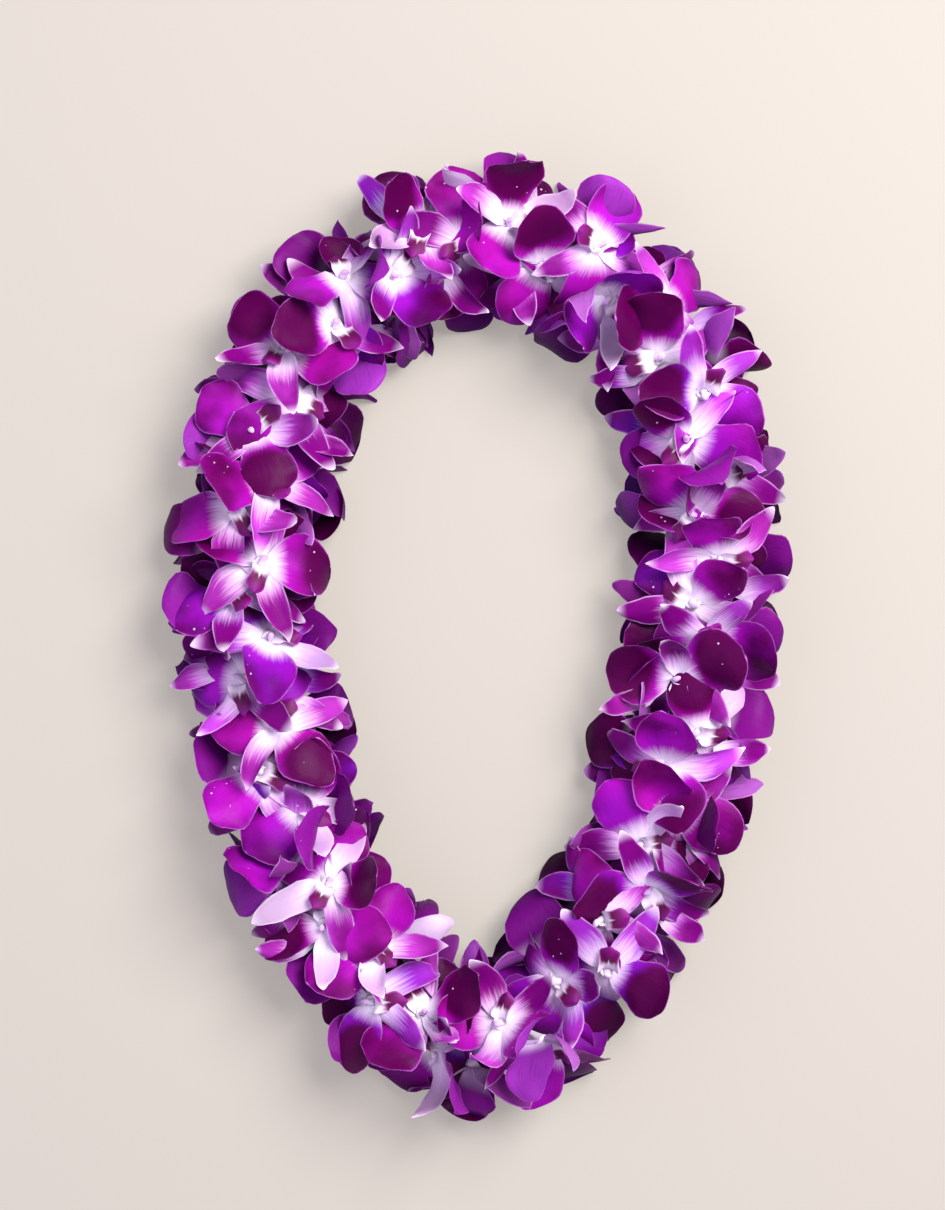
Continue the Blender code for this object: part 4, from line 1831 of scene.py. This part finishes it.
@dataclass(frozen=True)
class BloomMaker:
    """The growth tree of a bunch, and the sizes that it is given."""

    ruffle_height: float = 0.0034
    ruffle_scale: float = 55.0
    petal_ruffle: float = 2.0
    lip_ruffle: float = 0.5
    floor: float = 0.0003
    pressed_thickness: float = 0.0005
    side_from: float = 0.033  # from the string, where the petals start to close round the band
    side_most: float = 0.0540
    sepal_excess: float = 0.012  # how much further sepals stand out
    side_fall: float = 0.7  # how far they bow for what they close
    top_from: float = 0.057
    top_most: float = 0.0672
    least_reach: float = 0.0001  # so that nothing is divided by zero
    dew_size: float = 0.00055
    dew_density: float = 9000.0
    dew_least: float = 0.35  # of the size, of the smallest drops
    dew_spread: float = 0.8
    dew_flatness: float = 0.6
    dew_seed: int = 5
    dew_patch_scale: float = 38.0
    dew_patches: Span = (0.60, 0.68)  # of the noise, between which a patch starts
    # Those that the tree is given, each by its input's name.
    sizes: tuple[str, ...] = (
        "Ruffle height", "Ruffle scale", "Floor", "Pressed thickness", "Side from", "Side most",
        "Sepal excess", "Side fall", "Top from", "Top most", "Dew size", "Dew density",
    )  # fmt: skip

    def finishes(self) -> dict[Kind, bpy.types.Material]:
        """The finish of each kind of shape.

        Returns:
            The materials.
        """
        column = FleshFinish("orchid_column", (0.82, 0.72, 0.90), (0.62, 0.36, 0.76), tint_from=0.6)
        stalk = FleshFinish("orchid_stalk", (0.88, 0.80, 0.90), (0.55, 0.55, 0.40), tint_from=0.5)
        petal = BladeFinish()
        sepal = replace(
            petal,
            name="orchid_sepal",
            bright=(0.58, 0.070, 0.70),
            deep=(0.17, 0.001, 0.17),
            rim=(0.78, 0.44, 0.86),
            back=(0.34, 0.09, 0.42),
            dark_share=0.35,
            white_to=0.70,
            streaks=0.45,
            tip_from=0.82,
            rim_width=0.0008,
            rim_strength=1.0,
            vein_spacing=6.0,
        )
        finishes = (petal, sepal, LipFinish(), column, stalk)
        return {kind: finish.material() for kind, finish in zip(Kind, finishes)}

    def is_kind(self, graph: GrowthGraph, kind: Kind) -> Value:
        """One on the shapes of a kind, else zero."""
        return 1.0 - (graph.reading("kind") - float(kind.value)).size().past(0.5)

    def shaped(self, graph: GrowthGraph, geometry: Any) -> Socket:
        """Twists and bends each shape, ruffles it, and presses what is too low onto the surface.

        Args:
            graph: the growth tree.
            geometry: the shapes in their places.

        Returns:
            The shaped geometry.
        """
        along = graph.reading("along")
        pivot = graph.reading("pivot", "FLOAT_VECTOR")
        place = graph.place()
        settings = {"rotation_type": "AXIS_ANGLE"}
        for axis, turn in (("stem", graph.reading("twist")), ("hinge", graph.reading("bend") * -1.0)):
            sockets = {
                "Vector": place,
                "Center": pivot,
                "Axis": graph.reading(axis, "FLOAT_VECTOR"),
                "Angle": turn * along,
            }
            place = graph.node("ShaderNodeVectorRotate", settings, sockets).outputs[0]
        wander = graph.noise(place, graph.given("Ruffle scale"), 2.0, "Color")
        wander = graph.vector_math("SUBTRACT", wander.socket, (0.5, 0.5, 0.5))
        calmer = self.is_kind(graph, Kind.LIP) * (self.petal_ruffle - self.lip_ruffle)
        ruffle = graph.given("Ruffle height") * along * (self.petal_ruffle - calmer)
        bent = graph.moved(geometry, graph.vector_math("ADD", place, graph.scaled(wander, ruffle)))

        closed = graph.moved(bent, self.closed_round(graph))
        x, y, z = graph.parts(graph.place())
        upper = graph.parts(graph.node("GeometryNodeInputNormal").outputs[0])[2].past(0.0)
        lowest = graph.given("Floor") + graph.given("Pressed thickness") * upper
        return graph.moved(closed, graph.vector(x, y, z.over(lowest)))

    def closed_round(self, graph: GrowthGraph) -> Socket:
        """Where a point goes when the petals close round the band and under its top.

        Args:
            graph: the growth tree.

        Returns:
            The point's new place.
        """
        x, y, z = graph.parts(graph.place())
        line = graph.node("GeometryNodeObjectInfo", None, {0: graph.given("Route")}).outputs["Geometry"]
        level = graph.vector(x, y, 0.0)
        settings = {"target_element": "EDGES"}
        near = graph.node("GeometryNodeProximity", settings, {0: line, "Sample Position": level})
        reach = Value(graph, near.outputs["Distance"])
        most = graph.given("Side most") + self.is_kind(graph, Kind.SEPAL) * graph.given("Sepal excess")
        kept = reach.eased(graph.given("Side from"), most)
        way = graph.vector_math("SUBTRACT", level, near.outputs["Position"])
        share = graph.math("DIVIDE", kept, reach.over(self.least_reach))
        side = graph.vector_math("ADD", near.outputs["Position"], graph.scaled(way, share))
        height = z - (reach - kept) * graph.given("Side fall")
        height = height.eased(graph.given("Top from"), graph.given("Top most"))
        return graph.vector_math("ADD", side, graph.vector(0.0, 0.0, height))

    def dew(self, graph: GrowthGraph, petals: Any) -> Socket:
        """Scatters drops of water in patches on the fronts of the petals.

        Args:
            graph: the growth tree.
            petals: the shaped geometry.

        Returns:
            The drops.
        """
        place = graph.place()
        patches = graph.noise(place, self.dew_patch_scale, 0.0).rises(*self.dew_patches)
        on_petal = self.is_kind(graph, Kind.PETAL) * (1.0 - graph.reading("behind"))
        sockets = {
            "Mesh": petals,
            "Density": graph.given("Dew density") * patches * on_petal,
            "Seed": graph.given("Dew seed"),
        }
        points = graph.node("GeometryNodeDistributePointsOnFaces", None, sockets)
        drop = graph.node("GeometryNodeMeshIcoSphere", None, {"Radius": 1.0, "Subdivisions": 2})
        smooth = graph.node("GeometryNodeSetShadeSmooth", None, {0: drop.outputs[0]})
        sockets = {"Seed": graph.given("Dew seed")}
        size = graph.node("FunctionNodeRandomValue", {"data_type": "FLOAT"}, sockets)
        spread = Value(graph, next(socket for socket in size.outputs if socket.enabled))
        width = graph.given("Dew size") * (spread * spread * self.dew_spread + self.dew_least)
        sockets = {
            "Points": points.outputs["Points"],
            "Instance": smooth.outputs[0],
            "Rotation": points.outputs["Rotation"],
            "Scale": graph.vector(width, width, width * self.dew_flatness),
        }
        drops = graph.node("GeometryNodeInstanceOnPoints", None, sockets).outputs[0]
        return graph.node("GeometryNodeRealizeInstances", None, {0: drops}).outputs[0]

    def tree(self) -> GrowthGraph:
        """The tree that grows a bunch from its points.

        Returns:
            The tree.
        """
        inputs = {"Shapes": "NodeSocketCollection", "Route": "NodeSocketObject"}
        inputs |= {"Dew seed": "NodeSocketInt"} | dict.fromkeys(self.sizes, "NodeSocketFloat")
        graph = GrowthGraph.named("bloom_growth", inputs)
        sockets = {0: graph.given("Shapes"), "Separate Children": True, "Reset Children": True}
        shapes = graph.node("GeometryNodeCollectionInfo", None, sockets)
        turn = graph.node("FunctionNodeEulerToRotation", None, {0: graph.reading("turn", "FLOAT_VECTOR")})
        sockets = {
            "Points": graph.given("Geometry"),
            "Instance": shapes.outputs[0],
            "Pick Instance": True,
            "Instance Index": graph.reading("shape", "INT"),
            "Rotation": turn.outputs[0],
            "Scale": graph.reading("size", "FLOAT_VECTOR"),
        }
        set_out = graph.node("GeometryNodeInstanceOnPoints", None, sockets).outputs[0]
        real = graph.node("GeometryNodeRealizeInstances", None, {0: set_out}).outputs[0]
        grown = self.shaped(graph, real)
        drops = graph.dressed(self.dew(graph, grown), DewFinish().material())
        for kind, finish in self.finishes().items():
            grown = graph.dressed(grown, finish, self.is_kind(graph, kind))
        joined = graph.node("GeometryNodeJoinGeometry")
        for part in (drops, grown):
            graph.feed(joined.inputs[0], part)
        graph.ends(joined.outputs[0])
        return graph

    def inputs(self, shelf: ShapeShelf, line: bpy.types.Object) -> dict[str, Any]:
        """The values of the tree's inputs."""
        things = {"Shapes": shelf.collection, "Route": line, "Dew seed": self.dew_seed}
        return sizes_of(self, self.sizes) | things


@dataclass(frozen=True)
class TiedString:
    """The cotton string: three strands twisted together, knotted into a loop with two short ends."""

    route: StringRoute
    shift: np.ndarray
    radius: float = 0.00075
    strands: int = 3
    strand_depth: float = 0.16
    twist_length: float = 0.006
    step: float = 0.0012
    loop_points: int = 256
    round_points: int = 12
    knot_radius: float = 0.0013
    knot_points: int = 60
    tail_length: float = 0.011
    tail_points: int = 8
    tail_up: float = 0.75
    tail_out: float = 0.65
    sizes: tuple[str, ...] = ("Radius", "Strand depth", "Twist length", "Step")  # its tree's inputs

    def lines(self) -> list[tuple[list[np.ndarray], bool]]:
        """The middle lines of the string, each with whether it closes: the loop, the knot and the ends.

        Returns:
            The lines.
        """
        loop = [
            self.route.point(self.route.length * i / self.loop_points) for i in range(self.loop_points)
        ]
        middle, tangent, outward = self.route.point(0), self.route.tangent(0), self.route.outward(0)
        knot = []  # a trefoil
        for i in range(self.knot_points):
            angle = 2 * math.pi * i / self.knot_points
            around = math.sin(angle) + 2 * math.sin(2 * angle)
            rise = math.cos(angle) - 2 * math.cos(2 * angle)
            depth = -math.sin(3 * angle)
            place = (outward * around + UP * rise + tangent * depth) * self.knot_radius / 3
            knot.append(middle + place)
        leaning = unit(self.route.bunch_lean * tangent + UP)
        tails = []
        for sign in (1, -1):
            way = unit(sign * self.tail_up * leaning + self.tail_out * outward)
            shares = np.linspace(0, 1, self.tail_points)
            tails.append([middle + way * self.tail_length * share for share in shares])
        return [(loop, True), (knot, True)] + [(tail, False) for tail in tails]

    def curve(self) -> bpy.types.Object:
        """The middle lines as one curve object.

        Returns:
            The object.
        """
        data = bpy.data.curves.new("string_lines", "CURVE")
        data.dimensions = "3D"
        for points, closed in self.lines():
            spline = data.splines.new("POLY")
            spline.points.add(len(points) - 1)
            for point, place in zip(spline.points, points):
                point.co = (*(place + self.shift), 1.0)
            spline.use_cyclic_u = closed
        return placed("string_lines", data)

    def tree(self) -> GrowthGraph:
        """The tree that lays twisted strands along the lines.

        Returns:
            The tree.
        """
        graph = GrowthGraph.named("twisted_string", dict.fromkeys(self.sizes, "NodeSocketFloat"))
        sockets = {"Curve": graph.given("Geometry"), "Length": graph.given("Step")}
        lines = graph.node("GeometryNodeResampleCurve", {"mode": "LENGTH"}, sockets).outputs[0]
        along = Value(graph, graph.node("GeometryNodeSplineParameter").outputs["Length"])
        tilt = graph.math("DIVIDE", along, graph.given("Twist length")) * (2 * math.pi)
        lines = graph.node("GeometryNodeSetCurveTilt", None, {"Curve": lines, "Tilt": tilt}).outputs[0]

        sockets = {"Resolution": self.round_points, "Radius": 1.0}
        circle = graph.node("GeometryNodeCurvePrimitiveCircle", None, sockets)
        place = graph.place()
        x, y, _ = graph.parts(place)
        angle = graph.math("ARCTAN2", y, x)
        lobe = graph.math("COSINE", angle * float(self.strands), 0.0)
        size = graph.given("Radius") * (1.0 - graph.given("Strand depth") * (1.0 - lobe))
        profile = graph.moved(circle.outputs[0], graph.scaled(place, size))
        # painted shade: the groove value, 1 between the strands, darkens the string's finish there
        sockets = {"Geometry": profile, "Name": "groove", "Value": 0.5 - lobe * 0.5}
        settings = {"data_type": "FLOAT", "domain": "POINT"}
        stored = graph.node("GeometryNodeStoreNamedAttribute", settings, sockets)
        sockets = {"Curve": lines, "Profile Curve": stored.outputs[0], "Fill Caps": True}
        mesh = graph.node("GeometryNodeCurveToMesh", None, sockets).outputs[0]
        real = graph.node("GeometryNodeRealizeInstances", None, {0: mesh}).outputs[0]
        graph.ends(graph.dressed(real, CottonFinish().material()))
        return graph

    def dress(self) -> bpy.types.Object:
        """Makes the string and puts it in the solid's place.

        Returns:
            The finished piece.
        """
        piece = self.tree().grown(self.curve(), "twisted_string", sizes_of(self, self.sizes))
        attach(piece, "root")
        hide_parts("string")
        return piece


@dataclass(frozen=True)
class TuckedPetals:
    """Petals and sepals that lie low between the blooms, their ends just at the band's sides."""

    planner: BloomPlanner
    shelf: ShapeShelf
    steps: int = 5  # on each side of a bunch
    step_place: Span = (0.2, 0.8)  # as a share of the step
    start: float = 0.005  # from the string
    sepal_share: float = 0.35
    sepal_start: float = 0.017
    sway: Span = (-0.7, 0.7)  # along the string, for each step outwards
    climb: Span = (-0.25, 0.35)
    rise: Span = (-0.006, 0.008)
    lean: Span = (-35.0, 35.0)
    length: Span = (0.75, 0.95)
    width: Span = (0.75, 1.0)
    bend: Span = (-40.0, 5.0)
    twist: Span = (-30.0, 30.0)
    tone: Span = (0.3, 1.0)
    hue: Span = (-0.6, 0.9)

    def petal(self, distance: float, sign: int, draw: random.Random) -> Growth:
        """One petal or sepal.

        Args:
            distance: how far along the string.
            sign: 1 on the ring's outer side, -1 on its inner side.
            draw: the random draws.

        Returns:
            The grown shape.
        """
        route = self.planner.route
        tangent, outward = route.tangent(distance), route.outward(distance) * sign
        way = unit(outward + draw.uniform(*self.sway) * tangent + draw.uniform(*self.climb) * UP)
        level = unit(np.cross(UP, way))
        lean = math.radians(draw.uniform(*self.lean))
        sideways = math.cos(lean) * level + math.sin(lean) * np.cross(way, level)
        kind = Kind.SEPAL if draw.random() < self.sepal_share else Kind.PETAL
        reach = self.sepal_start if kind is Kind.SEPAL else self.start
        pivot = route.point(distance) + way * reach + UP * draw.uniform(*self.rise)
        return Growth(
            shape=draw.choice(self.shelf.numbers(kind)),
            pivot=pivot,
            axes=squared_axes(way, sideways),
            size=(draw.uniform(*self.length), draw.uniform(*self.width), 1.0),
            bend=math.radians(draw.uniform(*self.bend)),
            twist=math.radians(draw.uniform(*self.twist)),
            tone=draw.uniform(*self.tone),
            hue=draw.uniform(*self.hue),
        )

    def of_bunch(self, bunch: int, draw: random.Random) -> list[Growth]:
        """Those of one bunch, on both sides of the band.

        Args:
            bunch: which bunch, from 0.
            draw: the random draws.

        Returns:
            The grown shapes.
        """
        spacing = self.planner.route.length / self.planner.bunches
        petals = []
        for step, sign in itertools.product(range(self.steps), (1, -1)):
            share = (step + draw.uniform(*self.step_place)) / self.steps
            petals.append(self.petal((bunch + share) * spacing, sign, draw))
        return petals


@dataclass(frozen=True)
class StrayStalks:
    """Bare stalks that stand out between the petals on the ring's outer side."""

    planner: BloomPlanner
    shelf: ShapeShelf
    share: float = 0.35  # of the bunches have one
    place: Span = (0.3, 0.7)  # as a share of the bunch
    start: float = 0.004  # from the string
    length: float = 0.030
    climb: float = 0.15
    sway: Span = (-0.5, 0.5)
    bend: Span = (-20.0, 10.0)

    def of_bunch(self, bunch: int, draw: random.Random) -> list[Growth]:
        """The stalk of one bunch, if it has one.

        Args:
            bunch: which bunch, from 0.
            draw: the random draws.

        Returns:
            The grown shape, or nothing.
        """
        if draw.random() >= self.share:
            return []
        route = self.planner.route
        distance = (bunch + draw.uniform(*self.place)) * route.length / self.planner.bunches
        tangent, outward = route.tangent(distance), route.outward(distance)
        way = unit(outward + self.climb * UP + draw.uniform(*self.sway) * tangent)
        return [
            Growth(
                shape=self.shelf.numbers(Kind.STALK)[-1],
                pivot=route.point(distance) + way * self.start,
                axes=squared_axes(way, unit(np.cross(UP, way))),
                size=(self.length, 1.0, 1.0),
                bend=math.radians(draw.uniform(*self.bend)),
            )
        ]


@dataclass(frozen=True)
class OrchidLei:
    """The whole lei: its string and its sixteen bunches."""

    planner: BloomPlanner = BloomPlanner()
    maker: BloomMaker = BloomMaker()
    looks_seed: int = 21
    string_segments: int = 32  # of the solid string

    def shift(self) -> np.ndarray:
        """From the planner's places to the frame's, by the string's middle in each.

        Returns:
            The move.
        """
        route = self.planner.route
        steps = np.arange(self.string_segments) / self.string_segments
        loop = np.array([route.point(route.length * step) for step in steps])
        planned = (loop.min(axis=0) + loop.max(axis=0)) / 2
        low, high = (np.array(corner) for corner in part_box("string"))
        return (low + high) / 2 - planned

    def level_line(self, shift: np.ndarray) -> bpy.types.Object:
        """The string's route at level zero, as a closed line of edges.

        Args:
            shift: the move from the planner's places to the frame's.

        Returns:
            The line as an object.
        """
        places = [tuple((place + shift[:2]).tolist()) + (0.0,) for place in self.planner.route.points[:-1]]
        edges = [(i - 1, i) for i in range(1, len(places))] + [(len(places) - 1, 0)]
        mesh = bpy.data.meshes.new("level_line")
        mesh.from_pydata(places, edges, [])
        return placed("level_line", mesh)

    def build(self) -> Iterator[bpy.types.Object]:
        """Builds the string and then each bunch.

        Yields:
            Each finished piece.
        """
        shift = self.shift()
        log.info("the planner's places are moved by %s mm", np.round(shift * 1000, 2))
        yield TiedString(self.planner.route, shift).dress()
        shelf = ShapeShelf.stocked(bloom_shapes())
        dresser = BloomDresser(shelf)
        tucked, stray = TuckedPetals(self.planner, shelf), StrayStalks(self.planner, shelf)
        line = self.level_line(shift)
        tree, inputs = self.maker.tree(), self.maker.inputs(shelf, line)
        draw = random.Random(self.looks_seed)
        for bunch, blooms in enumerate(self.planner.lay_out()):
            growths = [growth for bloom in blooms for growth in dresser.dressed(bloom, draw)]
            growths += tucked.of_bunch(bunch, draw) + stray.of_bunch(bunch, draw)
            made = BloomBunch(bunch + 1, tuple(blooms), tuple(growths), shift)
            self.compare(made)
            yield made.dress(tree, inputs)
        shelf.cleared()
        bpy.data.objects.remove(line)

    def compare(self, bunch: BloomBunch) -> None:
        """Reports how far the planned blooms' box is from the solid's, which should be next to nothing.

        Args:
            bunch: the bunch.
        """
        outlines = [
            bloom.world(lobe_outline(lobe, swing)) + bunch.shift
            for bloom in bunch.blooms
            for lobe, swing in zip(bloom.lobes, bloom.swings)
        ]
        places = np.concatenate(outlines)
        low, high = (np.array(corner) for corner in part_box(bunch.node))
        off = max(np.abs(places.min(axis=0) - low).max(), np.abs(places.max(axis=0) - high).max())
        log.info("%s: planned within %.2f mm of its solid", bunch.node, off * 1000)


def report(piece: bpy.types.Object) -> None:
    """Logs what a finished piece came to."""
    triangles = sum(len(face.vertices) - 2 for face in piece.data.polygons)
    log.info("%s: %d triangles", piece.name, triangles)


@dataclass(frozen=True)
class Lamp:
    """A square soft light that points at the lei's middle."""

    name: str
    place: Place
    side: float
    watts: float
    colour: Colour

    def build(self) -> None:
        """Puts the light in the scene."""
        data = bpy.data.lights.new(self.name, "AREA")
        data.size = self.side
        data.energy = self.watts
        data.color = self.colour
        light = placed(self.name, data)
        light.location = self.place
        light.rotation_euler = Vector(self.place).to_track_quat("Z", "Y").to_euler()


@dataclass(frozen=True)
class Studio:
    """The plain pale floor, the soft lights and the camera straight above."""

    aim: tuple[float, float] = (-0.00175, 0.01575)  # what the middle of the view is over
    view_height: float = 0.605  # how much of the lei's level the view's long side takes in
    level: float = 0.030
    distance: float = 1.30  # from that level to the camera
    sensor: float = 36.0
    farthest: float = 20.0  # that the camera sees
    floor_size: float = 14.0
    lamps: tuple[Lamp, ...] = (
        Lamp("key", (0.85, 0.70, 1.5), 1.1, 61.0, (1.0, 0.97, 0.93)),
        Lamp("fill", (-1.2, -0.2, 1.3), 1.6, 9.0, (0.84, 0.88, 1.0)),
    )
    surround_colour: Colour = (0.87, 0.74, 1.0)
    surround_strength: float = 0.46

    def camera(self) -> None:
        """A camera that looks straight down."""
        data = bpy.data.cameras.new("camera")
        data.sensor_width = self.sensor
        data.lens = self.sensor * self.distance / self.view_height
        data.clip_end = self.farthest
        camera = placed("camera", data)
        camera.location = (*self.aim, self.level + self.distance)
        bpy.context.scene.camera = camera

    def floor(self) -> None:
        """A plain pale floor under the lei."""
        half = self.floor_size / 2
        mesh = bpy.data.meshes.new("floor")
        corners = [(-half, -half, 0.0), (half, -half, 0.0), (half, half, 0.0), (-half, half, 0.0)]
        mesh.from_pydata(corners, [], [(0, 1, 2, 3)])
        mesh.materials.append(FloorFinish().material())
        placed("floor", mesh)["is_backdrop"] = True

    def surround(self) -> None:
        """An even dim light from all round."""
        world = bpy.data.worlds.new("surround")
        world.use_nodes = True
        background = world.node_tree.nodes["Background"]
        background.inputs["Color"].default_value = (*self.surround_colour, 1.0)
        background.inputs["Strength"].default_value = self.surround_strength
        bpy.context.scene.world = world

    def build(self) -> None:
        """Sets up the floor, the lights and the camera."""
        self.floor()
        for lamp in self.lamps:
            lamp.build()
        self.surround()
        self.camera()
        bpy.context.scene.view_settings.view_transform = "Standard"


def write_sizes() -> None:
    """Works out the box of the solids and the box of the finished lei."""
    boxes = {"cad": CAD_BOX, "visual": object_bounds()}
    sizes = {name: [list(corner) for corner in box] for name, box in boxes.items()}


def main() -> None:
    """Builds the lei and the studio, and reports each piece."""
    logging.basicConfig(level=logging.INFO, format="%(message)s", stream=sys.stdout)
    for piece in OrchidLei().build():
        report(piece)
    Studio().build()
    write_sizes()


if __name__ == "__main__":
    main()
